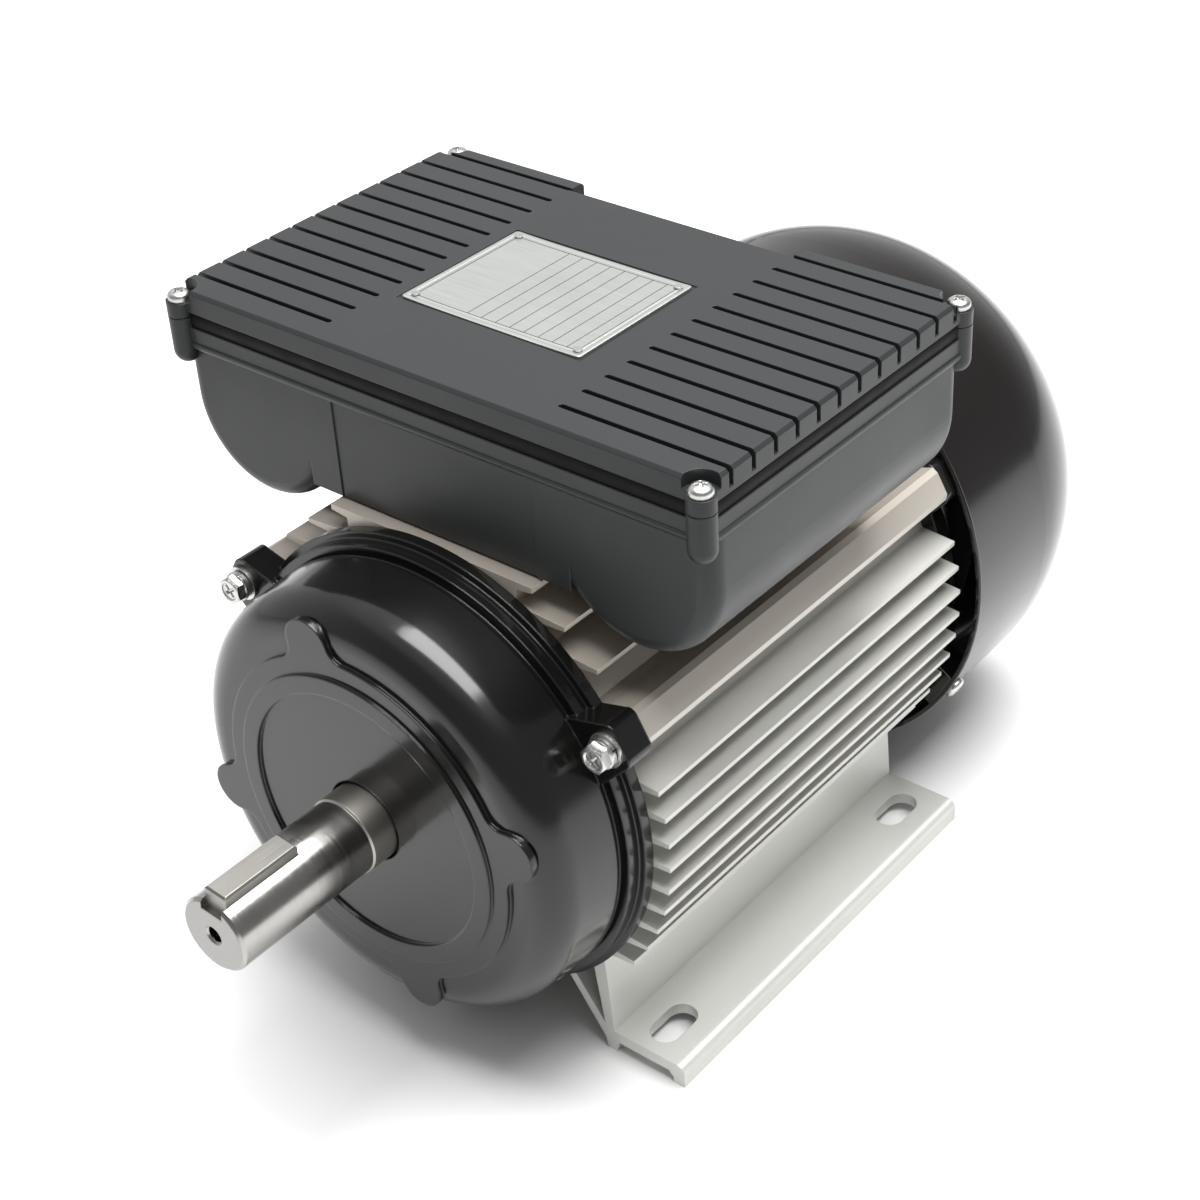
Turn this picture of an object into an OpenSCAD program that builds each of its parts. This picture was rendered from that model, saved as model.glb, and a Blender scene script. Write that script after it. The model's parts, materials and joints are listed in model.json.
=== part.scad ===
// Single-phase two-capacitor induction motor, foot mounted, totally enclosed and fan cooled.
// Frame: +X points out of the drive end, +Z up. The origin is the centre of the four foot
// slots on the mounting plane. All lengths are millimetres.

/* [Mounting] */
// Height of the shaft axis above the mounting plane
shaft_height = 90; // [88:0.5:94]
// Distance across the motor between foot slot centres
foot_gauge = 140; // [138:0.5:146]
// Distance along the motor between foot slot centres
foot_pitch = 125; // [118:0.5:128]
// Width of a foot slot
slot_w = 10; // [8:0.5:11]
// End-to-end length of a foot slot, along the motor
slot_l = 18; // [14:0.5:20]
// Height of the foot plate's top face
foot_h = 8; // [7.5:0.25:9]
// Thickness of the foot plate
foot_t = 4; // [3.5:0.25:4.5]
// Overall width of the feet
foot_w = 168.6; // [168:0.2:174]

/* [Shaft] */
// Diameter of the drive end extension
shaft_d = 24; // [20:0.5:24]
// Length of the drive end extension
shaft_len = 50; // [46:1:60]
// Distance from the front foot slots to the shaft shoulder
shoulder_gap = 60; // [56:0.5:64]
// Diameter of both bearing seats
seat_d = 25; // [25:0.25:26]
// Diameter of the rear extension that carries the fan
fan_seat_d = 20; // [16:0.5:22]
// Width of the key
key_w = 8; // [6:0.5:8]
// Height of the key
key_h = 7; // [6:0.25:8]
// Length of the key
key_l = 27; // [18:1:34]
// Distance from the shaft end to the key
key_gap = 2; // [2:0.5:8]
// Depth of the keyway below the shaft surface
keyway_depth = 4; // [3:0.25:5]
// Diameter of the threaded centre hole
centre_hole_d = 5; // [4.2:0.2:8]
// Depth of the threaded centre hole
centre_hole_l = 22; // [16:1:30]

/* [Housing] */
// Length of the finned housing
housing_len = 154; // [150:1:164]
// Outside diameter of the stator stack, which the housing bore grips
stator_d = 130; // [128:0.5:132]
// Thickness of the housing shell under the fins
shell_wall = 6.5; // [5.5:0.25:7]
// Height of the cooling fins above the shell
fin_h = 11; // [9:0.5:12]
// Spacing of the level fins on the flanks
fin_pitch = 8.8; // [8.5:0.1:9.2]
// Thickness of a fin at its tip
fin_tip_t = 1.5; // [1.2:0.1:2]
// Thickness of a fin at its root
fin_root_t = 3; // [2.4:0.1:3.6]
// Height of the flat pad on top, above the shell
pad_h = 3.5; // [2.5:0.5:5]

/* [Stator and rotor] */
// Length of the stator and rotor stacks
stack_len = 100; // [90:1:104]
// Number of stator slots
stator_slots = 24; // [18:6:24]
// Radial air gap between rotor and stator
air_gap = 0.3; // [0.3:0.05:0.6]
// Outside diameter of the rotor stack
rotor_d = 79.6; // [76:0.2:80]
// Number of cast bars in the rotor cage
rotor_bars = 20; // [16:1:22]
// Overhang of the end windings beyond the stack
overhang = 23; // [18:0.5:24]

/* [Drive end shield] */
// Depth of the shield from the housing to its flat front face
shield_depth = 36; // [35:0.5:38]
// Outside radius of the domed wall
dome_r = 71.8; // [70:0.2:73]
// Radius of the rounding between the domed wall and the face
dome_round = 11.5; // [9:0.5:12]
// Wall thickness of the shield
shield_wall = 5; // [4:0.25:5.5]
// Radius of the raised platform with four lobes
platform_r = 54.3; // [52.5:0.1:55]
// Distance from the axis to the rounded end of each lobe
lobe_reach = 66.5; // [65:0.1:66.9]
// Outer radius of the raised ring on the platform
ring_r = 48.6; // [47:0.1:50]
// Radius of the shallow recess inside the ring
recess_r = 42.6; // [38:0.1:44]

/* [Fan cover] */
// Distance from the housing to the rim of the cover
rim_gap = 5; // [4:0.25:6]
// Length of the fan cover
cover_len = 89; // [86:0.5:100]
// Sheet thickness of the fan cover
cover_t = 1.2; // [1:0.1:1.5]
// Radius of the cover's rounded rear shoulder
cover_round = 60; // [52:1:62]
// Number of blades on the fan
fan_blades = 8; // [6:1:10]
// Outside diameter of the fan
fan_d = 150; // [140:1:156]

/* [Capacitor box] */
// Centre of the box along the motor
box_x = 12.5; // [10:0.5:13]
// Length of the box along the motor
box_l = 122; // [120:1:124]
// Width of the box across the motor
box_w = 195; // [193:1:199]
// Depth of the box below its lid
box_h = 39.5; // [38:0.5:44]
// Height of the capacitor axes above the floor of the box
lobe_rise = 16; // [15:0.5:18]
// Diameter of the capacitors
cap_d = 48; // [44:0.5:48]
// Length of the capacitors
cap_l = 96; // [80:1:98]
// Wall thickness of the box
box_wall = 3; // [2.5:0.25:3]
// Height of the flange round the top of the box
box_flange_h = 5.5; // [4:0.5:7]
// Thickness of the lid above its dark band
lid_t = 7; // [6.5:0.25:9]
// Height of the set-back band under the lid
band_h = 1.5; // [1:0.25:2.5]
// Thickness of the seal under the lid
seal_t = 3.5; // [3:0.25:4]
// Number of grooves in each end of the lid
groove_count = 12; // [8:1:12]
// Width of a groove
groove_w = 1.8; // [1.4:0.1:2.4]
// Depth of a groove
groove_depth = 5.5; // [3:0.25:5.5]
// Spacing of the grooves
groove_pitch = 9.6; // [9:0.1:9.7]
// Length of the nameplate across the lid
plate_l = 66; // [50:1:72]
// Width of the nameplate along the motor
plate_w = 51; // [40:1:56]

/* [Hidden] */
$fn = 96;

// Clearances that every seat uses
seat_gap = 0.02;      // round piece pressed or slid into its seat
run_gap = 0.05;       // turning piece beside a still one
loose_gap = 0.3;      // free space between pieces that don't touch
far = 400;            // length of a cutter that passes right through

// Housing
housing_mid = -1;
housing_front = housing_mid + housing_len / 2;
housing_rear = housing_mid - housing_len / 2;
bore_r = stator_d / 2;
shell_r = bore_r + shell_wall;
fin_r = shell_r + fin_h;
first_fin = 22.2;                    // height of the top flank fin above the axis
flank_fins = 9;
pad_z = shaft_height + shell_r + pad_h;
pad_half = 38.2;
tie_r = fin_r - 1;                   // circle of the three tie bolts
tie_angles = [30, 150, 270];
tie_d = 5;
lug_half = 7.2;
lug_r = tie_r + 4.1;
lead_x = housing_front - 19;         // passage for the winding leads
lead_r = 8;
foot_lip = 4.3;
foot_inner = 57.3;                   // crease between web and foot plate

// Shaft
shoulder_x = foot_pitch / 2 + shoulder_gap;
shaft_end = shoulder_x + shaft_len;
seat_r = seat_d / 2;
body_r = seat_r + 1.5;               // shaft between the bearings
core_seat_r = seat_r + 2.5;          // shaft under the rotor stack
end_chamfer = 1;
key_bevel = 0.6;
keyway_room = 0.5;                   // keyway beyond the inner end of the key
key_turn = -6;                       // the key stands a little towards +Y of the top

// Drive end shield
face_x = housing_front + shield_depth;
flange_r = shell_r + 5;
flange_t = 3.5;
collar_r = flange_r - 2.3;
collar_x = housing_front + 8;
groove_x = collar_x + 2;
spigot_l = 6;
spigot_t = 4;
platform_h = 1.4;
ring_h = 1;
recess_depth = 1.1;
lobe_end_r = 8;
lobe_fillet = 6;
lobe_turn = 14;
shaft_hole_r = seat_r + 0.8;
ear_x = housing_front + 10;          // face under the bolt heads
rib_t = 4;
drive_cavity_r = min(dome_r - 1 - shield_wall, bore_r - spigot_t + 4);
bolt_washer_t = 1.1;
lock_washer_t = 1.4;
bolt_head_h = 4;
bolt_head_af = 8;

// Ball bearings, 25 x 52 x 15 series
bearing_w = 15;
bearing_r = seat_r + 13.5;
bearing_inner_r = seat_r + 4.4;
bearing_outer_r = bearing_r - 4;
ball_r = 3.97;
ball_pitch_r = (seat_r + bearing_r) / 2 + 0.25;
ball_count = 9;
ball_gap = 0.08;
seal_w = 7;
seal_bore_r = 20;
seal_x1 = face_x - 3;
seal_x0 = seal_x1 - seal_w;
drive_bearing_x1 = seal_x0 - 0.8;
drive_bearing_x0 = drive_bearing_x1 - bearing_w;
rear_bearing_x1 = housing_rear - 2;
rear_bearing_x0 = rear_bearing_x1 - bearing_w;
washer_t = 1;
rear_wall_x = rear_bearing_x0 - washer_t;
rear_cap_x = rear_wall_x - 3;
hub_r = bearing_r + 7;

// Stator and rotor
stack_x0 = housing_rear + 28;        // the switch has its room behind the stack
stack_x1 = stack_x0 + stack_len;
rotor_r = rotor_d / 2;
stator_bore_r = rotor_r + air_gap;
slot_neck = 2;                       // depth of the tooth tips
slot_in = stator_bore_r + slot_neck;
slot_out = bore_r - 12;
slot_in_half = 2.6;
slot_out_half = 4;
slot_liner = 0.2;
wind_r0 = stator_bore_r + 3;
wind_r1 = bore_r - spigot_t - 0.5;
wind_round = 6;
bar_r = 2.8;
bar_pitch_r = rotor_r - 5.3;
end_ring_t = 9;
end_ring_r0 = bar_pitch_r - 8;
paddle_l = 6;

// Fan and its cover
cover_r = fin_r + 4;
cover_in_r = cover_r - cover_t;
rim_x = housing_rear - rim_gap;
cover_back = rim_x - cover_len;
shoulder_start = cover_back + 46;    // where the rounded shoulder begins
cover_screw_x = rim_x - 6;
cover_screw_angles = [90, 210, 330];
fan_x1 = rear_cap_x - 10;
fan_l = 30;
fan_x0 = fan_x1 - fan_l;
fan_hub_r = fan_seat_d / 2 + 7;
fan_disc_t = 2.4;
blade_t = 2.2;
clip_t = 1.2;
clip_gap = 0.1;
shaft_rear = fan_x0 - clip_t - 5;

// Centrifugal switch, between the rotor and the rear shield
gov_x1 = stack_x0 - end_ring_t - 2;  // front face of the base disc
gov_t = 2;
gov_pivot_x = gov_x1 - 11;
gov_pivot_r = 24;
gov_pin_r = 1.5;
gov_eye_r = 2.5;
gov_ear_half = 8;
gov_ear_t = 2;
weight_half = gov_ear_half - gov_ear_t - loose_gap;
finger_t = 1.2;
sleeve_stroke = 2.5;
sleeve_r = body_r + 3.5;
sleeve_flange_r = body_r + 6;
sleeve_groove_w = 3.4;
sleeve_x0 = rear_bearing_x1 + 3;
sleeve_x1 = gov_pivot_x + 3.2;
arm_x = sleeve_x0 - loose_gap;       // face of the arm that follows the flange
arm_t = 1;
arm_pivot_y = 46;
switch_board_t = 2;
switch_feet = [-28, 28];
board_x1 = arm_x - arm_t - 3;

// Capacitor box and lid
gasket_t = 1;
box_z = pad_z + gasket_t;
box_top = box_z + box_h;
band_z = box_top + seal_t;
lid_z = band_z + band_h;
lid_top = lid_z + lid_t;
box_x0 = box_x - box_l / 2;
box_x1 = box_x + box_l / 2;
box_half = box_w / 2;
notch_depth = 7;
notch_half = 42;
band_inset = 1.5;
wall_inset = 1.5;
cap_gap = 0.3;
cap_r = cap_d / 2;
pod_r = cap_r + cap_gap + box_wall;  // outside of the round pod over each capacitor
pod_y = box_half - pod_r - 0.2;
pod_z = box_z + lobe_rise;
pod_round = 5.5;
centre_half = pod_y - chord_y(pod_r, lobe_rise) + 1; // the floor runs out to meet the pods
panel_half = 37;                     // front panel between the pods
panel_set = 0.4;
lid_corner = 3;
lid_edge = 1;
lid_screw_xs = [box_x0 + 0.3, box_x1 - 0.8];
lid_screw_y = box_half - 2.5;
boss_r = 4.1;
boss_drop = 3.5;
scallop_r = 5.6;
scallop_depth = 4;
lid_screw_r = 1.7;
lid_screw_head_r = 3.4;
lid_screw_head_h = 3;
groove_x0 = box_x1 - 10;
groove_in = 42.6;
plate_x = box_x + 3;
plate_y = -3;
plate_t = 0.8;
plate_recess = 0.4;
rivet_r = 1.3;
gland_z = box_z + 20;
gland_bore_r = 6.5;
gland_thread_r = 10;
gland_body_w = 24;
gland_body_t = 6;
gland_neck_l = 18;
gland_stem_l = 8;                    // thread past the inside of the wall
gland_seal_wall = 1.3;
gland_seal_x = 8;
gland_nut_w = 23.5;
gland_nut_l = 17;
locknut_w = 25;
locknut_t = 4.5;
notch_wall_x = box_x0 + notch_depth + wall_inset;
board_x = 20;
board_l = 60;
board_w = 46;
board_lift = 5;
board_t = 4;
stud_xs = [board_x - 18, board_x, board_x + 18];
stud_y = 13;
stud_r = 2.5;
box_screw_x = 26;
box_screw_y = 30;
box_screw_r = 2.5;
earth_x = box_x + 45;
earth_y = -30;
cap_x0 = box_x0 + 12;

// ---------- Frames and helpers ----------

// Puts children on the shaft axis, with +Y turned by the angle a about it
module polar(a = 0) {
    translate([0, 0, shaft_height]) rotate([a, 0, 0]) children();
}

// Turns a profile of (radius, x) points about the shaft axis
module turned() {
    polar() rotate([0, 90, 0]) rotate_extrude() children();
}

// Runs a (y, z) outline along the motor from x0 to x1
module along(x0, x1) {
    translate([x0, 0, 0]) rotate([90, 0, 90]) linear_extrude(x1 - x0) children();
}

// Runs a (y, z) outline about the axis from x0 to x1
module along_axis(x0, x1) {
    translate([0, 0, shaft_height]) along(x0, x1) children();
}

// Solid rod along X, centred on its own origin line
module bar_x(x0, x1, r) {
    translate([x0, 0, 0]) rotate([0, 90, 0]) cylinder(h = x1 - x0, r = r);
}

module rod(x0, x1, r) {
    polar() bar_x(x0, x1, r);
}

module ring(x0, x1, r_out, r_in) {
    turned() translate([r_in, x0]) square([r_out - r_in, x1 - x0]);
}

module mirrored_y() {
    children();
    mirror([0, 1, 0]) children();
}

module round_rect(l, w, r) {
    union() {
        square([l - 2 * r, w], center = true);
        square([l, w - 2 * r], center = true);
        for (sx = [-1, 1], sy = [-1, 1])
            translate([sx * (l / 2 - r), sy * (w / 2 - r)]) circle(r);
    }
}

module hexagon(across_flats) {
    circle(d = across_flats / cos(30), $fn = 6);
}

// ---------- Housing ----------

function chord_y(r, z) = sqrt(r * r - z * z);

// One level fin on the +Y side, at height z above the axis
module fin(z, tip_r = fin_r) {
    root_y = chord_y(shell_r, z) - 2;
    tip_y = chord_y(tip_r, z);
    polygon([
        [root_y, z - fin_root_t / 2 - 0.4], [tip_y, z - fin_tip_t / 2],
        [tip_y, z + fin_tip_t / 2], [root_y, z + fin_root_t / 2 + 0.4]
    ]);
}

// Lug for a tie bolt, drawn along +Y and turned to its place
module lug() {
    polygon([
        [shell_r - 5, -lug_half - 5], [shell_r + 3, -lug_half - 1.2], [lug_r - 1.2, -lug_half + 1.7],
        [lug_r, -lug_half + 3.4], [lug_r, lug_half - 3.4], [lug_r - 1, lug_half - 1.4],
        [shell_r + 3, lug_half + 0.6], [shell_r - 5, lug_half + 4]
    ]);
}

// Point at radius r and angle a about the axis, in heights above the mounting plane
function about_axis(r, a) = [r * cos(a), r * sin(a) + shaft_height];

// Foot and its two webs on the +Y side: a plate on an outer lip and a short inner leg, joined to
// the shell by an upright outer web and an inner web that leans further under the shell
module foot_outline() {
    lip_y = foot_w / 2;
    lip_round = 3;
    leg_y = foot_inner - 2.8;
    under = foot_h - foot_t;
    root_r = shell_r - 2.5;
    polygon([
        [leg_y, 0], [leg_y + 3.6, 0], [leg_y + 4.6, under], [lip_y - foot_lip, under], [lip_y - foot_lip, 0],
        [lip_y, 0], [lip_y, foot_h - lip_round], [lip_y - lip_round, foot_h],
        [foot_inner, foot_h], [foot_inner - 1.1, foot_h + 17], [foot_inner - 1.9, foot_h + 28],
        about_axis(shell_r + 1.5, -39.5), about_axis(root_r, -42), about_axis(root_r, -44.1),
        [foot_inner - 3.4, foot_h + 1.7],
        about_axis(root_r, -56.7), about_axis(root_r - 1.5, -59.1),
        [foot_inner - 3.5, foot_h - 4.1]
    ]);
    translate([lip_y - lip_round, foot_h - lip_round]) circle(lip_round, $fn = 48);
}

module housing_outline() {
    for (side = [0, 1]) mirror([side, 0]) {
        for (i = [0 : flank_fins - 1]) fin(first_fin - i * fin_pitch);
        for (z = [shell_r - 15.7, shell_r - 5.9]) fin(z, fin_r - 0.6);
        // downward fins between the feet and the lowest lug
        for (y = [16, 25.5, 35])
            polygon([
                [y - 1.8, -chord_y(shell_r, y) + 2], [y - 0.8, -chord_y(fin_r - 2, y)],
                [y + 0.8, -chord_y(fin_r - 2, y)], [y + 1.8, -chord_y(shell_r, y) + 2]
            ]);
        // edge of the pad, as a level shelf
        polygon([
            [0, shell_r - 6], [pad_half - 7, shell_r - 9], [pad_half - 6, shell_r + pad_h - 2.6],
            [pad_half, shell_r + pad_h - 1.8], [pad_half, shell_r + pad_h], [0, shell_r + pad_h]
        ]);
    }
    circle(shell_r);
    for (a = tie_angles) rotate(a) lug();
}

module housing() {
    color("#b9b7b0") difference() {
        union() {
            along_axis(housing_rear, housing_front) housing_outline();
            mirrored_y() along(housing_rear, housing_front) foot_outline();
        }
        rod(-far, far, bore_r);
        for (a = tie_angles) polar(a) translate([0, tie_r, 0]) bar_x(-far, far, tie_d / 2 + run_gap);
        for (sx = [-1, 1], sy = [-1, 1])
            translate([sx * foot_pitch / 2, sy * foot_gauge / 2, 0]) foot_slot();
        translate([lead_x, 0, shaft_height]) cylinder(h = far, r = lead_r);
        box_screw_holes(pad_z - 7, pad_z + 1, box_screw_r + run_gap);
    }
}

module foot_slot() {
    translate([0, 0, -1]) linear_extrude(foot_h + 2) {
        square([slot_l - slot_w, slot_w], center = true);
        for (s = [-1, 1]) translate([s * (slot_l - slot_w) / 2, 0]) circle(slot_w / 2);
    }
}

module box_screw_holes(z0, z1, r) {
    for (sx = [-1, 1], sy = [-1, 1])
        translate([box_x + sx * box_screw_x, sy * box_screw_y, z0]) cylinder(h = z1 - z0, r = r);
}

// ---------- Stator ----------

module slot_outline(inset = 0) {
    polygon([
        [slot_in + inset, -slot_in_half + inset], [slot_out, -slot_out_half + inset],
        [slot_out, slot_out_half - inset], [slot_in + inset, slot_in_half - inset]
    ]);
    translate([slot_out, 0]) circle(slot_out_half - inset, $fn = 32);
}

module stator_core() {
    color("#6d6f72") along_axis(stack_x0, stack_x1) difference() {
        circle(bore_r - seat_gap);
        circle(stator_bore_r);
        for (i = [0 : stator_slots - 1]) rotate(i * 360 / stator_slots) {
            slot_outline();
            translate([stator_bore_r - 1, -1.2]) square([slot_neck + 2, 2.4]);
        }
    }
}

// Rounded ring of end turns beyond the stack, from x0 outwards
module end_turns(x0, x1) {
    w = wind_r1 - wind_r0;
    turned() translate([(wind_r0 + wind_r1) / 2, (x0 + x1) / 2]) round_rect(w, x1 - x0, wind_round);
}

module stator_windings() {
    color("#a5562a") {
        along_axis(stack_x0 - overhang / 2, stack_x1 + overhang / 2)
            for (i = [0 : stator_slots - 1]) rotate(i * 360 / stator_slots) slot_outline(slot_liner);
        end_turns(stack_x1 + 1, stack_x1 + overhang);
        end_turns(stack_x0 - overhang, stack_x0 - 1);
    }
}

// Four leads that rise from the end turns through the passage to the terminal board
module winding_leads() {
    wire_r = 1.1;
    bend_r = 5;
    rise = box_z + box_wall + board_lift + board_t + wire_r + 0.1;
    start_z = shaft_height + wind_r1 + 0.1;
    end_x = stud_xs[2];
    color("#7a1f1a") for (i = [0 : 3]) translate([0, -4.5 + 3 * i, 0]) {
        x = lead_x - 1.5;
        translate([x, 0, start_z]) cylinder(h = rise - bend_r - start_z, r = wire_r, $fn = 24);
        translate([x - bend_r, 0, rise - bend_r]) rotate([90, 0, 0])
            rotate_extrude(angle = 90, $fn = 64) translate([bend_r, 0]) circle(wire_r, $fn = 24);
        translate([end_x, 0, rise]) rotate([0, 90, 0])
            cylinder(h = x - bend_r - end_x, r = wire_r, $fn = 24);
    }
}

// ---------- End shields ----------

// Rounded bump that bulges out of the platform, with fillets where it meets the rim
module platform_lobe() {
    centre = lobe_reach - lobe_end_r;
    reach_rim = platform_r + lobe_fillet;
    reach_bump = lobe_end_r + lobe_fillet;
    turn = acos((reach_rim * reach_rim + centre * centre - reach_bump * reach_bump) / (2 * reach_rim * centre));
    translate([centre, 0]) circle(lobe_end_r, $fn = 64);
    difference() {
        polygon([
            [0, 0], reach_rim * [cos(turn), -sin(turn)], [centre, 0], reach_rim * [cos(turn), sin(turn)]
        ]);
        for (s = [-1, 1]) rotate(s * turn) translate([reach_rim, 0]) circle(lobe_fillet, $fn = 64);
    }
}

// Ear that takes a tie bolt, drawn along +Y
module ear_outline(out_r) {
    corner = 3;
    translate([0, -lug_half]) square([out_r - corner, 2 * lug_half]);
    translate([0, -lug_half + corner]) square([out_r, 2 * (lug_half - corner)]);
    for (s = [-1, 1]) translate([out_r - corner, s * (lug_half - corner)]) circle(corner, $fn = 32);
    polygon([[0, -lug_half - 5], [flange_r - 4, -lug_half - 3.2], [out_r - corner, -lug_half],
        [out_r - corner, lug_half], [flange_r - 4, lug_half + 3.2], [0, lug_half + 5]]);
}

module drive_dome_profile() {
    round_r = dome_r - 1;
    round_x = face_x - dome_round;
    translate([0, housing_front]) square([flange_r, flange_t]);
    translate([0, housing_front + flange_t]) square([collar_r, collar_x - housing_front - flange_t]);
    translate([0, collar_x]) square([dome_r - 1, groove_x - collar_x]);
    polygon([[0, groove_x], [dome_r, groove_x], [round_r, round_x], [0, round_x]]);
    translate([round_r - dome_round, round_x]) circle(dome_round);
    translate([0, round_x]) square([round_r - dome_round, dome_round]);
}

module drive_cavity_profile() {
    in_r = drive_cavity_r;
    corner = dome_round - shield_wall;
    top = face_x - shield_wall;
    spigot_r = bore_r - spigot_t;
    translate([0, housing_front - spigot_l - 1]) square([spigot_r, spigot_l + 10]);
    polygon([[0, housing_front + 3], [spigot_r, housing_front + 3], [in_r, housing_front + 9],
        [in_r, top - corner], [0, top - corner]]);
    translate([in_r - corner, top - corner]) circle(corner, $fn = 48);
    translate([0, top - corner]) square([in_r - corner, corner]);
}

module drive_end_shield() {
    color("#1f2022") difference() {
        union() {
            turned() difference() {
                union() {
                    drive_dome_profile();
                    translate([0, housing_front - spigot_l]) square([bore_r - seat_gap, spigot_l + 1]);
                }
                drive_cavity_profile();
            }
            // bearing hub and the ribs that brace it
            rod(drive_bearing_x0, face_x - 1, hub_r);
            along_axis(drive_bearing_x0 + 8, face_x - shield_wall + 1) for (i = [0 : 5]) rotate(i * 60)
                translate([hub_r - 2, -rib_t / 2]) square([drive_cavity_r + 1 - hub_r + 2, rib_t]);
            along_axis(housing_front, ear_x) for (a = tie_angles) rotate(a) difference() {
                ear_outline(lug_r + 1.6);
                circle(flange_r - 6);
            }
            // raised platform with four lobes and the turned ring on it
            along_axis(face_x - 1, face_x + platform_h) {
                circle(platform_r);
                for (i = [0 : 3]) rotate(lobe_turn + i * 90) platform_lobe();
            }
            rod(face_x, face_x + platform_h + ring_h, ring_r);
        }
        rod(face_x + platform_h + ring_h - recess_depth, far, recess_r);
        rod(drive_bearing_x0 - 1, drive_bearing_x1, bearing_r + seat_gap);
        rod(seal_x0 - 1, seal_x1, seal_bore_r + seat_gap);
        rod(0, far, shaft_hole_r);
        for (a = tie_angles) polar(a) translate([0, tie_r, 0]) bar_x(0, far, tie_d / 2 + 0.3);
    }
}

module rear_end_shield() {
    spigot_r = bore_r - spigot_t;
    wall_back_x = rear_cap_x + 8;
    fan_hole_r = fan_seat_d / 2 + 0.8;
    color("#1b1c1d") difference() {
        union() {
            turned() difference() {
                union() {
                    polygon([
                        [0, housing_rear], [flange_r, housing_rear], [flange_r, housing_rear - 6],
                        [flange_r - 6, wall_back_x - 3], [hub_r + 3, wall_back_x - 5], [hub_r, rear_cap_x], [0, rear_cap_x]
                    ]);
                    translate([0, housing_rear]) square([bore_r - seat_gap, spigot_l]);
                }
                polygon([
                    [0, wall_back_x + 1], [spigot_r - 4, wall_back_x + 1], [spigot_r, wall_back_x + 5],
                    [spigot_r, housing_rear + spigot_l + 1], [0, housing_rear + spigot_l + 1]
                ]);
            }
            rod(rear_cap_x, rear_bearing_x1, hub_r);
            // ears tapped for the tie bolts
            along_axis(housing_rear - 9, housing_rear) for (a = tie_angles) rotate(a) difference() {
                ear_outline(cover_in_r - loose_gap);
                circle(flange_r - 6);
            }
            // bosses that the fan cover is screwed to
            intersection() {
                for (a = cover_screw_angles) polar(a)
                    translate([cover_screw_x - 6, flange_r - 12, -8]) cube([12, 30, 16]);
                rod(-far, 0, cover_in_r - run_gap);
            }
            // the two feet that the switch board is riveted to
            for (a = switch_feet) polar(a) translate([0, hub_r + 9, 0]) bar_x(wall_back_x, board_x1 - switch_board_t, 4);
        }
        rod(rear_wall_x, housing_rear + spigot_l + 1, bearing_r + seat_gap);
        rod(-far, 0, fan_hole_r);
        for (a = tie_angles) polar(a) translate([0, tie_r, 0]) bar_x(-far, 0, tie_d / 2 + run_gap);
        for (a = cover_screw_angles) polar(a) translate([cover_screw_x, flange_r - 4, 0])
            rotate([-90, 0, 0]) cylinder(h = 40, r = 2 + run_gap);
    }
}

// Bolt with a split lock washer under its flanged head
module tie_bolts() {
    lock_x = ear_x + bolt_washer_t;
    head_x = lock_x + lock_washer_t;
    color("#cfd2d4") for (a = tie_angles) polar(a) translate([0, tie_r, 0]) {
        bar_x(housing_rear - 8, head_x + 1, tie_d / 2);
        bar_x(lock_x, head_x, tie_d / 2 + 2);
        bar_x(head_x, head_x + 1, bolt_head_af / 2 + 0.7);
        translate([head_x, 0, 0]) rotate([90, 0, 90]) linear_extrude(bolt_head_h) hexagon(bolt_head_af);
    }
}

module tie_bolt_washers() {
    color("#d9dbdc") for (a = tie_angles) polar(a) translate([0, tie_r, 0]) difference() {
        bar_x(ear_x, ear_x + bolt_washer_t, bolt_head_af / 2 + 1.5);
        bar_x(0, far, tie_d / 2 + 0.3);
    }
}

// ---------- Shaft and rotor ----------

module shaft() {
    tip_r = shaft_d / 2;
    fan_r = fan_seat_d / 2;
    groove_x1 = fan_x0 - clip_gap / 2;
    mouth_r = centre_hole_d / 2 + 0.7;
    color("#c9c7c2") difference() {
        turned() polygon([
            [0, shaft_rear], [fan_r - end_chamfer, shaft_rear], [fan_r, shaft_rear + end_chamfer],
            [fan_r, groove_x1 - clip_t - clip_gap], [fan_r - 0.8, groove_x1 - clip_t - clip_gap],
            [fan_r - 0.8, groove_x1], [fan_r, groove_x1],
            [fan_r, rear_bearing_x0], [seat_r, rear_bearing_x0], [seat_r, rear_bearing_x1],
            [body_r, rear_bearing_x1], [body_r, stack_x0 - end_ring_t], [core_seat_r, stack_x0 - end_ring_t],
            [core_seat_r, stack_x1 + end_ring_t], [body_r, stack_x1 + end_ring_t], [body_r, drive_bearing_x0],
            [seat_r, drive_bearing_x0], [seat_r, shoulder_x - 0.5], [seat_r - 0.5, shoulder_x],
            [tip_r, shoulder_x], [tip_r, shaft_end - end_chamfer], [tip_r - end_chamfer, shaft_end],
            [0, shaft_end]
        ]);
        // keyway, square at its inner end and open at the shaft end
        polar(key_turn) translate([shaft_end - key_gap - key_l - keyway_room, -key_w / 2, tip_r - keyway_depth])
            cube([far, key_w, far]);
        rod(shaft_end - centre_hole_l, far, centre_hole_d / 2);
        // bevelled mouth
        turned() polygon([
            [0, shaft_end - mouth_r], [mouth_r, shaft_end], [mouth_r, far], [0, far]
        ]);
    }
}

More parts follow.
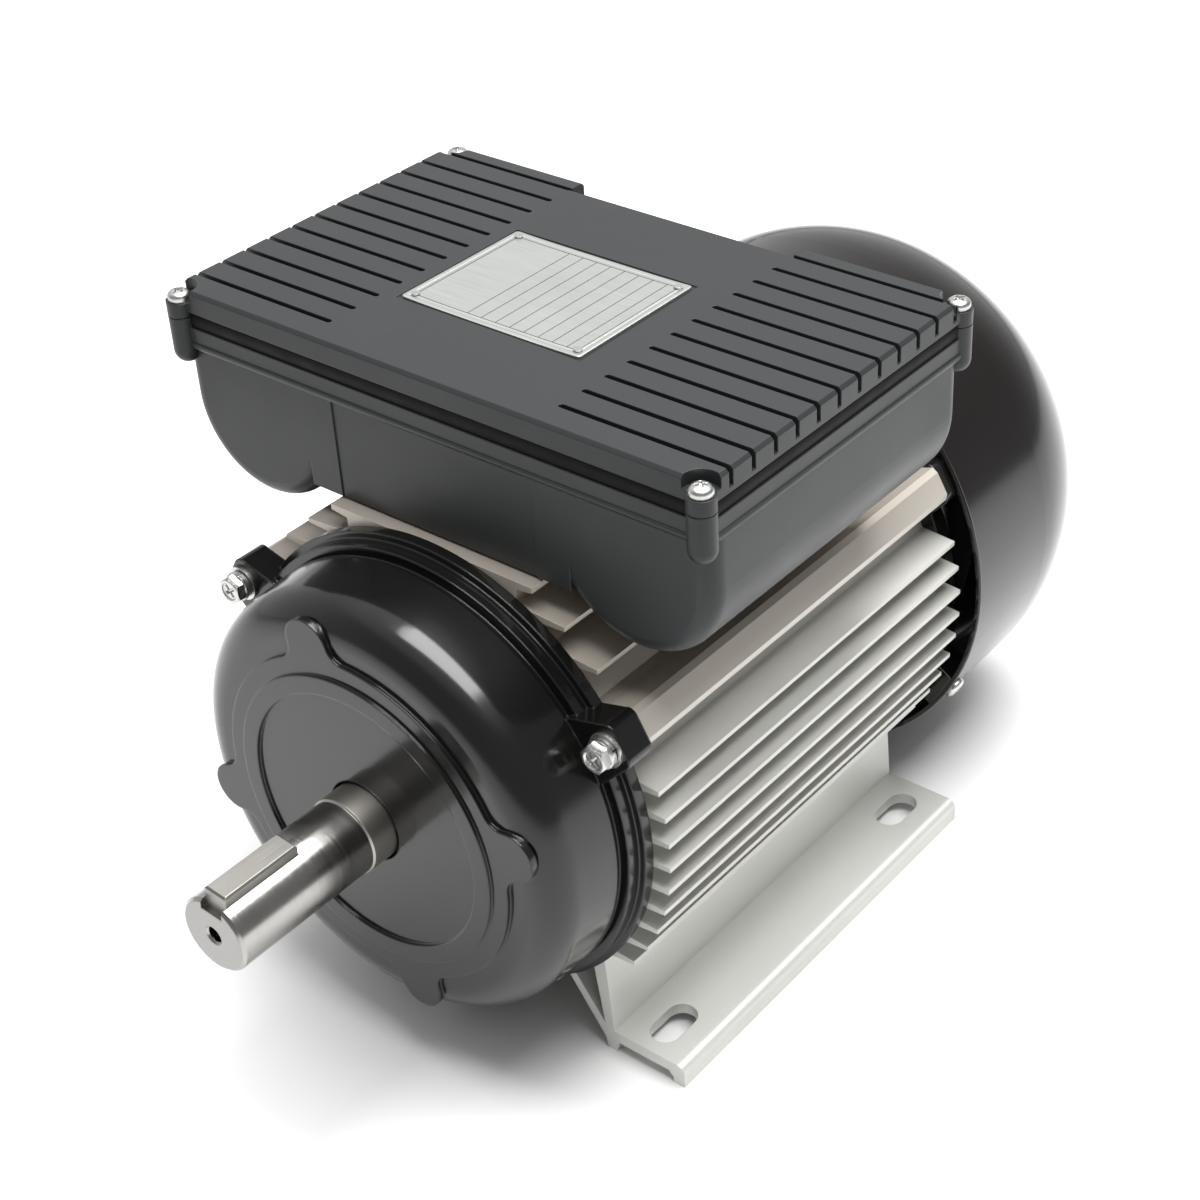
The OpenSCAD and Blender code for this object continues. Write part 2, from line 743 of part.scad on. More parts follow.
// Key with square ends and bevelled edges, seated on the floor of the keyway
module shaft_key() {
    half = key_w / 2 - seat_gap;
    inner_x = shaft_end - key_gap - key_l;
    color("#bdbbb6") polar(key_turn) translate([inner_x, 0, shaft_d / 2 - keyway_depth]) intersection() {
        rotate([90, 0, 90]) linear_extrude(key_l) polygon([
            [-half, 0], [half, 0], [half, key_h - key_bevel], [half - key_bevel, key_h],
            [-half + key_bevel, key_h], [-half, key_h - key_bevel]
        ]);
        translate([0, half, 0]) rotate([90, 0, 0]) linear_extrude(2 * half) polygon([
            [0, 0], [key_l, 0], [key_l, key_h - key_bevel], [key_l - key_bevel, key_h],
            [key_bevel, key_h], [0, key_h - key_bevel]
        ]);
    }
}

module rotor_core() {
    color("#7b7d80") along_axis(stack_x0, stack_x1) difference() {
        circle(rotor_r);
        circle(core_seat_r + seat_gap);
        for (i = [0 : rotor_bars - 1]) rotate(i * 360 / rotor_bars)
            translate([bar_pitch_r, 0]) circle(bar_r + seat_gap, $fn = 32);
        // axial cooling holes
        for (i = [0 : 5]) rotate(i * 60) translate([core_seat_r + 6, 0]) circle(3, $fn = 32);
    }
}

// Cast cage: bars through the stack, a ring at each end, and paddles that stir the air
module rotor_cage() {
    color("#c4c6c8") {
        along_axis(stack_x0 - 1, stack_x1 + 1) for (i = [0 : rotor_bars - 1]) rotate(i * 360 / rotor_bars)
            translate([bar_pitch_r, 0]) circle(bar_r, $fn = 32);
        ring(stack_x1, stack_x1 + end_ring_t, rotor_r - 0.5, end_ring_r0);
        ring(stack_x0 - end_ring_t, stack_x0, rotor_r - 0.5, end_ring_r0);
        for (i = [0 : 9]) polar(i * 36) {
            translate([stack_x1 + end_ring_t - 1, rotor_r - 6, -1.2]) cube([paddle_l + 1, 5, 2.4]);
            translate([stack_x0 - end_ring_t - paddle_l, rotor_r - 6, -1.2]) cube([paddle_l + 1, 5, 2.4]);
        }
    }
}

// ---------- Bearings ----------

module bearing_outer(x0) {
    mid = x0 + bearing_w / 2;
    turned() difference() {
        translate([bearing_outer_r, x0]) square([bearing_r - bearing_outer_r, bearing_w]);
        translate([ball_pitch_r, mid]) circle(ball_r + ball_gap, $fn = 64);
    }
}

module bearing_inner(x0) {
    mid = x0 + bearing_w / 2;
    turned() difference() {
        translate([seat_r + seat_gap, x0]) square([bearing_inner_r - seat_r - seat_gap, bearing_w]);
        translate([ball_pitch_r, mid]) circle(ball_r + ball_gap, $fn = 64);
    }
}

module bearing_balls(x0) {
    for (i = [0 : ball_count - 1]) polar(i * 360 / ball_count)
        translate([x0 + bearing_w / 2, ball_pitch_r, 0]) sphere(ball_r, $fn = 48);
}

module bearing_cage(x0) {
    mid = x0 + bearing_w / 2;
    half_w = 3.2;
    half_t = 1.1;
    difference() {
        ring(mid - half_w, mid + half_w, ball_pitch_r + half_t, ball_pitch_r - half_t);
        for (i = [0 : ball_count - 1]) polar(i * 360 / ball_count)
            translate([mid, ball_pitch_r, 0]) rotate([90, 0, 0])
                cylinder(h = 8, r = ball_r + ball_gap, center = true, $fn = 48);
        // the pockets open at one side, so that the cage snaps over the balls
        for (i = [0 : ball_count - 1]) polar(i * 360 / ball_count)
            translate([mid, ball_pitch_r - 4, -2.6]) cube([far, 8, 5.2]);
    }
}

module drive_bearing_outer() { color("#9fa2a6") bearing_outer(drive_bearing_x0); }
module drive_bearing_inner() { color("#a9acb0") bearing_inner(drive_bearing_x0); }
module drive_bearing_balls() { color("#d5d8db") bearing_balls(drive_bearing_x0); }
module drive_bearing_cage() { color("#3a2f28") bearing_cage(drive_bearing_x0); }
module rear_bearing_outer() { color("#9fa2a6") bearing_outer(rear_bearing_x0); }
module rear_bearing_inner() { color("#a9acb0") bearing_inner(rear_bearing_x0); }
module rear_bearing_balls() { color("#d5d8db") bearing_balls(rear_bearing_x0); }
module rear_bearing_cage() { color("#3a2f28") bearing_cage(rear_bearing_x0); }

// Spring washer that presses on the rear bearing's outer ring
module wave_washer() {
    color("#8e9194") ring(rear_wall_x, rear_bearing_x0, bearing_r - 0.6, bearing_r - 3.6);
}

// Lip seal: a ring with a flexible lip that rides on the shaft
module shaft_seal() {
    color("#2b2422") turned() difference() {
        translate([seat_r + run_gap, seal_x0]) square([seal_bore_r - seat_r - run_gap, seal_w]);
        translate([seat_r + 2, seal_x0 - 1]) square([3.5, seal_w - 1]);
        polygon([[seat_r - 1, seal_x0 + 2], [seat_r + 1.2, seal_x0 - 1], [seat_r - 1, seal_x0 - 1]]);
    }
}

// ---------- Fan and fan cover ----------

module fan_blade() {
    reach = fan_d / 2;
    rotate([90, 0, 0]) translate([0, 0, -blade_t / 2]) linear_extrude(blade_t) polygon([
        [fan_x0 + 6, fan_hub_r - 2], [fan_x0, fan_hub_r + 10], [fan_x0, reach - 16],
        [fan_x0 + 10, reach - 3], [fan_x0 + 16, reach], [fan_x1, reach], [fan_x1, fan_hub_r - 2]
    ]);
}

module fan() {
    color("#26282a") difference() {
        union() {
            rod(fan_x0, fan_x1, fan_hub_r);
            ring(fan_x1 - fan_disc_t, fan_x1, fan_d / 2 - 8, fan_hub_r - 1);
            for (i = [0 : fan_blades - 1]) polar(i * 360 / fan_blades) fan_blade();
        }
        rod(fan_x0 - 1, fan_x1 + 1, fan_seat_d / 2 + seat_gap);
    }
}

// External circlip with its two eyelets
module fan_clip() {
    x0 = fan_x0 - clip_gap - clip_t;
    in_r = fan_seat_d / 2 - 0.8 + seat_gap;
    color("#7f8285") along_axis(x0, x0 + clip_t) difference() {
        union() {
            circle(in_r + 2.6);
            for (s = [-1, 1]) rotate(90 + s * 20) translate([in_r + 2.4, 0]) circle(2.2, $fn = 32);
        }
        circle(in_r);
        rotate(90) translate([0, -1.5]) square([far, 3]);
        for (s = [-1, 1]) rotate(90 + s * 20) translate([in_r + 2.4, 0]) circle(0.8, $fn = 24);
    }
}

// Outside or inside of the cover, as (radius, x): a cylinder whose rear shoulder is an arc
module cover_profile(inset) {
    r = cover_r - inset;
    arc = cover_round - inset;
    back = cover_back + inset;
    intersection() {
        translate([0, back]) square([r, rim_x - back + 2 * inset]);
        union() {
            translate([0, shoulder_start]) square([r, rim_x - shoulder_start + 2 * inset]);
            translate([r - arc, shoulder_start]) circle(arc, $fn = 128);
            translate([0, back]) square([r - arc, shoulder_start - back]);
        }
    }
}

// Ring slots in the rear face, divided by radial spokes
module grille_outline() {
    first = 16;
    step = 9;
    difference() {
        for (i = [0 : 4]) difference() {
            circle(first + i * step + 5.5);
            circle(first + i * step);
        }
        for (i = [0 : 3]) rotate(22.5 + i * 45) square([4 * cover_r, 5], center = true);
    }
}

module fan_cover() {
    color("#202123") difference() {
        turned() {
            difference() {
                cover_profile(0);
                cover_profile(cover_t);
            }
            // rolled hem round the rim
            translate([cover_r - 0.2, rim_x - 0.7]) circle(0.7, $fn = 32);
        }
        along_axis(cover_back - 1, cover_back + 2 * cover_t) grille_outline();
        for (a = cover_screw_angles) polar(a) translate([cover_screw_x, cover_r - 10, 0])
            rotate([-90, 0, 0]) cylinder(h = 20, r = 2.3);
    }
}

module fan_cover_screws() {
    color("#c8cacc") for (a = cover_screw_angles) polar(a)
        translate([cover_screw_x, 0, 0]) rotate([-90, 0, 0]) {
            translate([0, 0, flange_r - 2]) cylinder(h = cover_r - flange_r + 2, r = 2, $fn = 32);
            translate([0, 0, cover_r]) cylinder(h = 2.4, r = 3.8, $fn = 48);
        }
}

// ---------- Centrifugal switch ----------

// Pressed disc on the shaft with two pairs of ears for the weights
module governor_base() {
    ear_reach = gov_pivot_r + 3;
    color("#b59a4a") difference() {
        union() {
            rod(gov_x1 - gov_t - 3, gov_x1, body_r + 3);
            rod(gov_x1 - gov_t, gov_x1, ear_reach);
            for (a = [90, 270]) polar(a) for (s = [-1, 1])
                translate([gov_pivot_x - gov_eye_r, gov_pivot_r - gov_eye_r, s * (gov_ear_half - gov_ear_t / 2) - gov_ear_t / 2])
                    cube([gov_x1 - gov_pivot_x + gov_eye_r, 2 * gov_eye_r, gov_ear_t]);
        }
        rod(-far, 0, body_r + seat_gap);
        for (a = [90, 270]) polar(a) translate([gov_pivot_x, gov_pivot_r, 0])
            cylinder(h = 4 * gov_ear_half, r = gov_pin_r + seat_gap, center = true, $fn = 32);
    }
}

module governor_pins() {
    color("#d0d2d4") for (a = [90, 270]) polar(a) translate([gov_pivot_x, gov_pivot_r, 0])
        cylinder(h = 2 * gov_ear_half + 1, r = gov_pin_r, center = true, $fn = 32);
}

// Bell crank: a weight in front of its pivot and a finger that reaches into the sleeve groove
module governor_weight() {
    finger_r = sleeve_r + 0.4 - 2;
    difference() {
        union() {
            translate([gov_pivot_x, gov_pivot_r, 0])
                cylinder(h = 2 * weight_half, r = gov_eye_r, center = true, $fn = 48);
            translate([gov_pivot_x + 1, gov_pivot_r - 1.6, -weight_half])
                cube([gov_x1 - gov_t - gov_pivot_x - 1 - 1.2, 5, 2 * weight_half]);
            for (s = [-1, 1]) translate([gov_pivot_x - finger_t / 2, finger_r + 0.3, s * (weight_half - 1) - 1])
                cube([finger_t, gov_pivot_r - finger_r, 2]);
        }
        translate([gov_pivot_x, gov_pivot_r, 0])
            cylinder(h = 6 * weight_half, r = gov_pin_r + run_gap, center = true, $fn = 32);
    }
}

module governor_weight_upper() { color("#8a8d90") polar(90) governor_weight(); }
module governor_weight_lower() { color("#8a8d90") polar(270) governor_weight(); }

// Sliding sleeve with a groove for the fingers and a flange that the switch arm follows
module governor_sleeve() {
    color("#d8d2c0") turned() difference() {
        union() {
            translate([body_r + run_gap, sleeve_x0]) square([sleeve_r - body_r - run_gap, sleeve_x1 - sleeve_x0]);
            translate([body_r + run_gap, sleeve_x0]) square([sleeve_flange_r - body_r - run_gap, 1.6]);
        }
        translate([sleeve_r - 1.9, gov_pivot_x - sleeve_groove_w / 2]) square([3, sleeve_groove_w]);
    }
}

// Insulating board that carries the still contact and the arm's pivot
module switch_board() {
    color("#7a4a22") difference() {
        along_axis(board_x1 - switch_board_t, board_x1) intersection() {
            difference() {
                circle(hub_r + 22);
                circle(hub_r + 1);
            }
            polygon([[0, 0], [80, -60], [80, 60]]);
        }
        for (a = switch_feet) polar(a) translate([0, hub_r + 9, 0]) bar_x(-far, 0, 1.6);
    }
}

module switch_arm() {
    tip_y = sleeve_flange_r - 4;
    color("#c79a3c") difference() {
        union() {
            polar() translate([arm_x - arm_t, tip_y, -3]) cube([arm_t, arm_pivot_y - tip_y, 6]);
            polar() translate([arm_x - arm_t / 2, arm_pivot_y, 0])
                cylinder(h = 6, r = 2, center = true, $fn = 32);
        }
        polar() translate([arm_x - arm_t / 2, arm_pivot_y, 0])
            cylinder(h = 20, r = 1 + run_gap, center = true, $fn = 32);
    }
}

module switch_arm_pin() {
    x = arm_x - arm_t / 2;
    color("#c0c2c4") polar() {
        translate([x, arm_pivot_y, 0]) cylinder(h = 14, r = 1, center = true, $fn = 32);
        for (s = [-1, 1]) translate([board_x1, arm_pivot_y - 1.5, s * 5.5 - 1]) cube([x - board_x1 + 1.8, 3, 2]);
    }
}

module switch_contact() {
    color("#c79a3c") polar() translate([0, arm_pivot_y - 10, 0])
        bar_x(board_x1, arm_x - arm_t - 0.1, 2.4);
}

// ---------- Capacitor box ----------

// Plan of the lid and flange, drawn inset from the full outline, with the step in its rear edge
module box_plan(inset) {
    l = box_l - 2 * inset;
    w = box_w - 2 * inset;
    difference() {
        translate([box_x, 0]) round_rect(l, w, max(lid_corner - inset / 2, 1));
        translate([box_x0 - 1, -notch_half - inset]) square([notch_depth + 1 + inset, 2 * (notch_half + inset)]);
    }
}

// Inner (y, z) section of the box: two pods joined over a raised floor
module box_section(inset) {
    for (s = [-1, 1]) {
        translate([s * pod_y, pod_z]) circle(pod_r - inset);
        translate([s * pod_y - (pod_r - inset), pod_z]) square([2 * (pod_r - inset), box_top - pod_z]);
    }
    translate([-centre_half, box_z + inset]) square([2 * centre_half, box_h - inset]);
}

// Round pod along the motor with rounded edges at both ends
module pod(x0, x1) {
    translate([0, 0, pod_z]) rotate([0, 90, 0]) rotate_extrude() {
        translate([0, x0]) square([pod_r - pod_round, x1 - x0]);
        translate([0, x0 + pod_round]) square([pod_r, x1 - x0 - 2 * pod_round]);
        for (x = [x0 + pod_round, x1 - pod_round]) translate([pod_r - pod_round, x]) circle(pod_round, $fn = 32);
    }
}

module lid_screw_places() {
    for (x = lid_screw_xs, s = [-1, 1]) translate([x, s * lid_screw_y, 0]) children();
}

module capacitor_box() {
    wall_x0 = box_x0 + wall_inset;
    wall_x1 = box_x1 - wall_inset;
    boss_z = box_top - box_flange_h - boss_drop + 1;
    color("#3a3c3e") difference() {
        union() {
            for (s = [-1, 1]) {
                translate([0, s * pod_y, 0]) pod(wall_x0, wall_x1);
                translate([(wall_x0 + wall_x1) / 2, s * pod_y, pod_z]) linear_extrude(box_top - pod_z - 1)
                    round_rect(wall_x1 - wall_x0, 2 * pod_r, pod_round);
            }
            translate([notch_wall_x, -panel_half - 1, box_z])
                cube([wall_x1 - panel_set - notch_wall_x, 2 * (panel_half + 1), box_h - 1]);
            mirrored_y() translate([notch_wall_x, panel_half, box_z])
                cube([wall_x1 - notch_wall_x, centre_half - panel_half, pod_z - box_z]);
            mirrored_y() translate([notch_wall_x, panel_half, pod_z - 1])
                cube([wall_x1 - notch_wall_x, pod_y - pod_r + pod_round - panel_half, box_top - pod_z]);
            translate([0, 0, box_top - box_flange_h]) linear_extrude(box_flange_h) box_plan(0);
            // corner bosses with rounded lower ends, standing past the outside of the seal
            lid_screw_places() translate([0, 0, boss_z]) {
                cylinder(h = band_z - loose_gap - boss_z, r = boss_r, $fn = 64);
                sphere(boss_r, $fn = 48);
            }
        }
        translate([0, 0, box_top]) linear_extrude(far) box_plan(band_inset - loose_gap);
        // hollow inside, with the rear wall stepped in at the notch
        difference() {
            along(wall_x0 + box_wall, wall_x1 - box_wall) box_section(box_wall);
            translate([-far, -notch_half - wall_inset - box_wall, 0])
                cube([far + notch_wall_x + box_wall, 2 * (notch_half + wall_inset + box_wall), far]);
        }
        translate([box_x0 - 1, -notch_half, box_z - 1])
            cube([notch_depth + 1, 2 * notch_half, box_h + 2]);
        translate([lead_x, 0, 0]) cylinder(h = far, r = lead_r);
        lid_screw_places() translate([0, 0, box_top - 8]) cylinder(h = 20, r = lid_screw_r + run_gap, $fn = 32);
        box_screw_holes(box_z - 1, box_z + box_wall + 1, box_screw_r + 0.3);
        translate([0, 0, gland_z]) bar_x(notch_wall_x - 1, notch_wall_x + box_wall + 1, gland_thread_r + 0.1);
        translate([earth_x, earth_y, box_z - 1]) cylinder(h = box_wall + 2, r = 2 + run_gap, $fn = 32);
    }
}

module box_gasket() {
    color("#161616") difference() {
        translate([notch_wall_x, -pad_half + 2, pad_z])
            cube([box_x1 - 4 - notch_wall_x, 2 * (pad_half - 2), gasket_t]);
        translate([lead_x, 0, 0]) cylinder(h = far, r = lead_r);
        box_screw_holes(pad_z - 1, box_z + 1, box_screw_r + 0.3);
    }
}

module box_screws() {
    floor_z = box_z + box_wall;
    color("#cccfd1") for (sx = [-1, 1], sy = [-1, 1])
        translate([box_x + sx * box_screw_x, sy * box_screw_y, 0]) {
            translate([0, 0, pad_z - 6]) cylinder(h = floor_z - pad_z + 6.5, r = box_screw_r, $fn = 32);
            translate([0, 0, floor_z]) cylinder(h = 3, r = 4.6, $fn = 48);
        }
}

// Lid with grooves cut in from both ends, which leave a comb of fingers
module box_lid() {
    rim = 5;
    color("#3c3e40") difference() {
        union() {
            difference() {
                hull() {
                    translate([0, 0, lid_z]) linear_extrude(lid_t - lid_edge)
                        translate([box_x, 0]) round_rect(box_l, box_w, lid_corner, $fn = 32);
                    translate([0, 0, lid_z]) linear_extrude(lid_t)
                        translate([box_x, 0]) round_rect(box_l - 2 * lid_edge, box_w - 2 * lid_edge, lid_corner, $fn = 32);
                }
                translate([box_x0 - 1, -notch_half, lid_z - 1]) cube([notch_depth + 1, 2 * notch_half, lid_t + 2]);
                lid_screw_places() translate([0, 0, lid_top - scallop_depth])
                    cylinder(h = 10, r = scallop_r, $fn = 64);
            }
            translate([0, 0, band_z]) linear_extrude(band_h + 1) box_plan(band_inset);
            lid_screw_places() translate([0, 0, band_z])
                cylinder(h = lid_top - scallop_depth - band_z, r = boss_r, $fn = 64);
        }
        // grooves
        for (i = [0 : groove_count - 1], s = [-1, 1])
            translate([groove_x0 - i * groove_pitch, 0, lid_top - groove_depth]) {
                translate([-groove_w / 2, s > 0 ? groove_in : -far, 0]) cube([groove_w, far - groove_in, 20]);
                translate([0, s * groove_in, 0]) cylinder(h = 20, r = groove_w / 2, $fn = 24);
            }
        // room under the lid, deeper in the middle
        translate([0, 0, band_z - 1]) linear_extrude(band_h + 1) box_plan(rim);
        translate([box_x0 + notch_depth + rim, -groove_in + rim, band_z - 1])
            cube([box_l - notch_depth - 2 * rim, 2 * (groove_in - rim), lid_top - 3 - band_z + 1]);
        lid_screw_places() translate([0, 0, band_z - 1]) cylinder(h = 30, r = lid_screw_r + 0.2, $fn = 32);
        translate([plate_x - plate_w / 2 - 1, plate_y - plate_l / 2 - 1, lid_top - plate_recess])
            cube([plate_w + 2, plate_l + 2, 5]);
        nameplate_corners() translate([0, 0, lid_top - 2.4]) cylinder(h = 5, r = rivet_r * 0.6 + run_gap, $fn = 24);
    }
}

module lid_seal() {
    color("#141414") difference() {
        translate([0, 0, box_top]) linear_extrude(seal_t) difference() {
            box_plan(band_inset);
            box_plan(box_wall + 1.5);
        }
        lid_screw_places() translate([0, 0, box_top - 1]) cylinder(h = 5, r = lid_screw_r + 0.5, $fn = 32);
    }
}

module lid_screws() {
    seat_z = lid_top - scallop_depth;
    color("#dcdee0") lid_screw_places() {
        translate([0, 0, box_top - 7]) cylinder(h = seat_z - box_top + 7.5, r = lid_screw_r, $fn = 32);
        translate([0, 0, seat_z]) cylinder(h = lid_screw_head_h, r = lid_screw_head_r, $fn = 48);
    }
}

// ---------- Capacitors, terminals and leads ----------

// One capacitor lying in its pod, with two blade terminals on its end
module capacitor(side) {
    x0 = cap_x0;
    translate([0, side * pod_y, pod_z]) {
        bar_x(x0, x0 + cap_l, cap_r);
        for (s = [-1, 1]) translate([x0 + cap_l - 0.5, s * 9 - 3, -0.4]) cube([8.5, 6, 0.8]);
    }
}

module start_capacitor() { color("#18191a") capacitor(1); }
module run_capacitor() { color("#d8d8d2") capacitor(-1); }

// Strap over each capacitor, with feet that bear on the pod walls
module capacitor_clips() {
    mid = cap_x0 + cap_l / 2;
    half = cap_r + cap_gap - 0.1;
    foot_z = cap_r * sin(20);
    color("#a9acae") for (s = [-1, 1]) translate([0, s * pod_y, pod_z]) difference() {
        union() {
            intersection() {
                bar_x(mid - 6, mid + 6, cap_r + 1);
                translate([mid - 6, -half, foot_z]) cube([12, 2 * half, cap_d]);
            }
            translate([mid - 6, -half, foot_z]) cube([12, 2 * half, 1]);
        }
        bar_x(mid - 7, mid + 7, cap_r + seat_gap);
    }
}

module terminal_board() {
    z0 = box_z + box_wall;
    color("#8c2f1f") difference() {
        union() {
            translate([board_x - board_l / 2, -board_w / 2, z0 + board_lift]) cube([board_l, board_w, board_t]);
            for (sx = [-1, 1], sy = [-1, 1])
                translate([board_x + sx * (board_l / 2 - 5), sy * (board_w / 2 - 5), z0])
                    cylinder(h = board_lift + 1, r = 3.5, $fn = 32);
        }
        for (x = stud_xs, s = [-1, 1]) translate([x, s * stud_y, z0 + board_lift - 1])
            cylinder(h = 10, r = stud_r + seat_gap, $fn = 32);
    }
}

module terminal_studs() {
    top = box_z + box_wall + board_lift + board_t;
    color("#c9a646") for (x = stud_xs, s = [-1, 1]) translate([x, s * stud_y, 0]) {
        translate([0, 0, top - 6]) cylinder(h = 18, r = stud_r, $fn = 32);
        translate([0, 0, top + 1]) linear_extrude(3.2) hexagon(8);
        translate([0, 0, top - 6.5]) linear_extrude(2.5) hexagon(8);
    }
}

// Two brass links that join neighbouring studs
module terminal_links() {
    top = box_z + box_wall + board_lift + board_t;
    color("#b8923a") for (s = [-1, 1]) translate([0, s * stud_y, top]) linear_extrude(1) difference() {
        union() {
            for (x = [stud_xs[0], stud_xs[1]]) translate([x, 0]) circle(4.5, $fn = 32);
            translate([stud_xs[0], -4.5]) square([stud_xs[1] - stud_xs[0], 9]);
        }
        for (x = [stud_xs[0], stud_xs[1]]) translate([x, 0]) circle(stud_r + 0.1, $fn = 32);
    }
}

module earth_screw() {
    color("#c9b25a") translate([earth_x, earth_y, 0]) {
        translate([0, 0, box_z]) cylinder(h = box_wall + 1, r = 2, $fn = 32);
        translate([0, 0, box_z + box_wall]) cylinder(h = 3.6, r = 4.2, $fn = 48);
    }
}

// Rubber bush that guards the leads where they pass through the box floor
module lead_grommet() {
    r = lead_r - seat_gap;
    color("#1a1a1a") translate([lead_x, 0, 0]) difference() {
        union() {
            translate([0, 0, pad_z - 2]) cylinder(h = box_z + box_wall - pad_z + 2.1, r = r);
            translate([0, 0, box_z + box_wall]) cylinder(h = 1.6, r = lead_r + 2);
        }
        translate([0, 0, pad_z - 3]) cylinder(h = 40, r = lead_r - 1.8);
    }
}

// ---------- Nameplate ----------

module nameplate_corners() {
    for (sx = [-1, 1], sy = [-1, 1])
        translate([plate_x + sx * (plate_w / 2 - 3), plate_y + sy * (plate_l / 2 - 3), 0]) children();
}

module nameplate() {
    color("#d3d4d2") difference() {
        translate([plate_x, plate_y, lid_top - plate_recess]) linear_extrude(plate_t)
            round_rect(plate_w, plate_l, 1.5, $fn = 32);
        nameplate_corners() translate([0, 0, lid_top - 2]) cylinder(h = 5, r = rivet_r * 0.6 + run_gap, $fn = 24);
    }
}

module nameplate_rivets() {
    top = lid_top - plate_recess + plate_t;
    color("#e2e3e4") nameplate_corners() {
        translate([0, 0, top - 2.6]) cylinder(h = 2.8, r = rivet_r * 0.6, $fn = 24);
        translate([0, 0, top]) cylinder(h = 0.5, r = rivet_r, $fn = 32);
    }
}

// ---------- Cable gland ----------

module gland_body() {
    wall_x = notch_wall_x;
    color("#2a2b2d") translate([0, 0, gland_z]) difference() {
        union() {
            bar_x(wall_x, wall_x + box_wall + gland_stem_l, gland_thread_r);
            translate([wall_x - gland_body_t, 0, 0]) rotate([90, 0, 90])
                linear_extrude(gland_body_t) hexagon(gland_body_w);
            bar_x(wall_x - gland_neck_l, wall_x, gland_thread_r - 1);
        }
        bar_x(wall_x - 30, wall_x + 30, gland_bore_r);
        bar_x(wall_x - 30, wall_x - gland_seal_x, gland_bore_r + gland_seal_wall);
    }
}

module gland_seal() {
    wall_x = notch_wall_x;
    color("#101010") translate([0, 0, gland_z]) difference() {
        bar_x(wall_x - gland_neck_l, wall_x - gland_seal_x, gland_bore_r + gland_seal_wall - seat_gap);
        bar_x(wall_x - 30, wall_x, gland_bore_r);
    }
}

module gland_nut() {
    wall_x = notch_wall_x;
    nut_x = wall_x - gland_nut_l;
    color("#2a2b2d") translate([0, 0, gland_z]) difference() {
        union() {
            translate([nut_x, 0, 0]) rotate([90, 0, 90])
                linear_extrude(gland_nut_l - gland_body_t - 0.5) hexagon(gland_nut_w);
            rotate([0, 90, 0]) rotate_extrude() {
                translate([0, nut_x]) square([11, 4]);
                intersection() {
                    translate([0, nut_x]) circle(11, $fn = 64);
                    translate([0, nut_x - 5]) square([11, 6]);
                }
            }
        }
        bar_x(wall_x - gland_neck_l - 0.1, wall_x, gland_thread_r - 1 + seat_gap);
        bar_x(wall_x - 40, wall_x, gland_bore_r + 0.2);
    }
}

module gland_locknut() {
    x0 = notch_wall_x + box_wall;
    color("#2f3032") translate([0, 0, gland_z]) difference() {
        translate([x0, 0, 0]) rotate([90, 0, 90]) linear_extrude(locknut_t) hexagon(locknut_w);
        bar_x(x0 - 1, x0 + 10, gland_thread_r + seat_gap);
    }
}

housing();
stator_core();
stator_windings();
winding_leads();
drive_end_shield();
rear_end_shield();
tie_bolts();
tie_bolt_washers();
shaft();
shaft_key();
rotor_core();
rotor_cage();
fan();
fan_clip();
drive_bearing_outer();
drive_bearing_inner();
drive_bearing_balls();
drive_bearing_cage();
rear_bearing_outer();
rear_bearing_inner();
rear_bearing_balls();
rear_bearing_cage();
wave_washer();
shaft_seal();
fan_cover();
fan_cover_screws();
governor_base();
governor_weight_upper();
governor_weight_lower();
governor_pins();
governor_sleeve();
switch_board();
switch_arm();
switch_arm_pin();
switch_contact();
capacitor_box();
box_gasket();
box_screws();
box_lid();
lid_seal();
lid_screws();
start_capacitor();
run_capacitor();
capacitor_clips();
terminal_board();
terminal_studs();
terminal_links();
earth_screw();
lead_grommet();
nameplate();
nameplate_rivets();
gland_body();
gland_nut();
gland_locknut();
gland_seal();
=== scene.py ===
"""Dressed model of a foot-mounted, fan-cooled single-phase motor with a two-capacitor box.

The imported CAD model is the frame. Every CAD node keeps its place and gets its finish, and the
pieces whose real form is softer or finer than the solid are made here as surfaces. Sizes in the
classes are millimetres, as on a drawing; a mesh takes metres.
"""

import json
import logging
from dataclasses import dataclass
from enum import Enum
from functools import cache

import bmesh
import bpy
import numpy as np
from mathutils import Matrix, Vector

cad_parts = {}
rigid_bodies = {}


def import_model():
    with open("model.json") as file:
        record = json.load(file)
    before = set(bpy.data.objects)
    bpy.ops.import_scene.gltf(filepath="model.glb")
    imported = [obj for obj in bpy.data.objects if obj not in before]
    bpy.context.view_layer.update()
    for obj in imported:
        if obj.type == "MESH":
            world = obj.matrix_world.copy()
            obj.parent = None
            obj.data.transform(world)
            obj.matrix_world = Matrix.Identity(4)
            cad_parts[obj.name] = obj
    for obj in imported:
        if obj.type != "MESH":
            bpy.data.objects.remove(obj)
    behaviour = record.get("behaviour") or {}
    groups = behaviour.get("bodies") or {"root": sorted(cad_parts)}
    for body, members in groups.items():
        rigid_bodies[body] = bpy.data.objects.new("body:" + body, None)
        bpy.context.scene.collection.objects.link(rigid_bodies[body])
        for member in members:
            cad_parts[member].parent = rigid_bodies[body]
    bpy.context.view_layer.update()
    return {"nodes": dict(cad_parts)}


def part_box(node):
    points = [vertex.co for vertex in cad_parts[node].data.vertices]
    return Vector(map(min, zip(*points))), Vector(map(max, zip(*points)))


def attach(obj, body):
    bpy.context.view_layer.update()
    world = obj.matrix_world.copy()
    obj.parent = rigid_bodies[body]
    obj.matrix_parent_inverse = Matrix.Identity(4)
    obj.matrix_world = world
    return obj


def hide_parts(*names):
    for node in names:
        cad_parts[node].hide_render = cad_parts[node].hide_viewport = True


for leftover in list(bpy.data.objects):
    bpy.data.objects.remove(leftover)
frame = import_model()

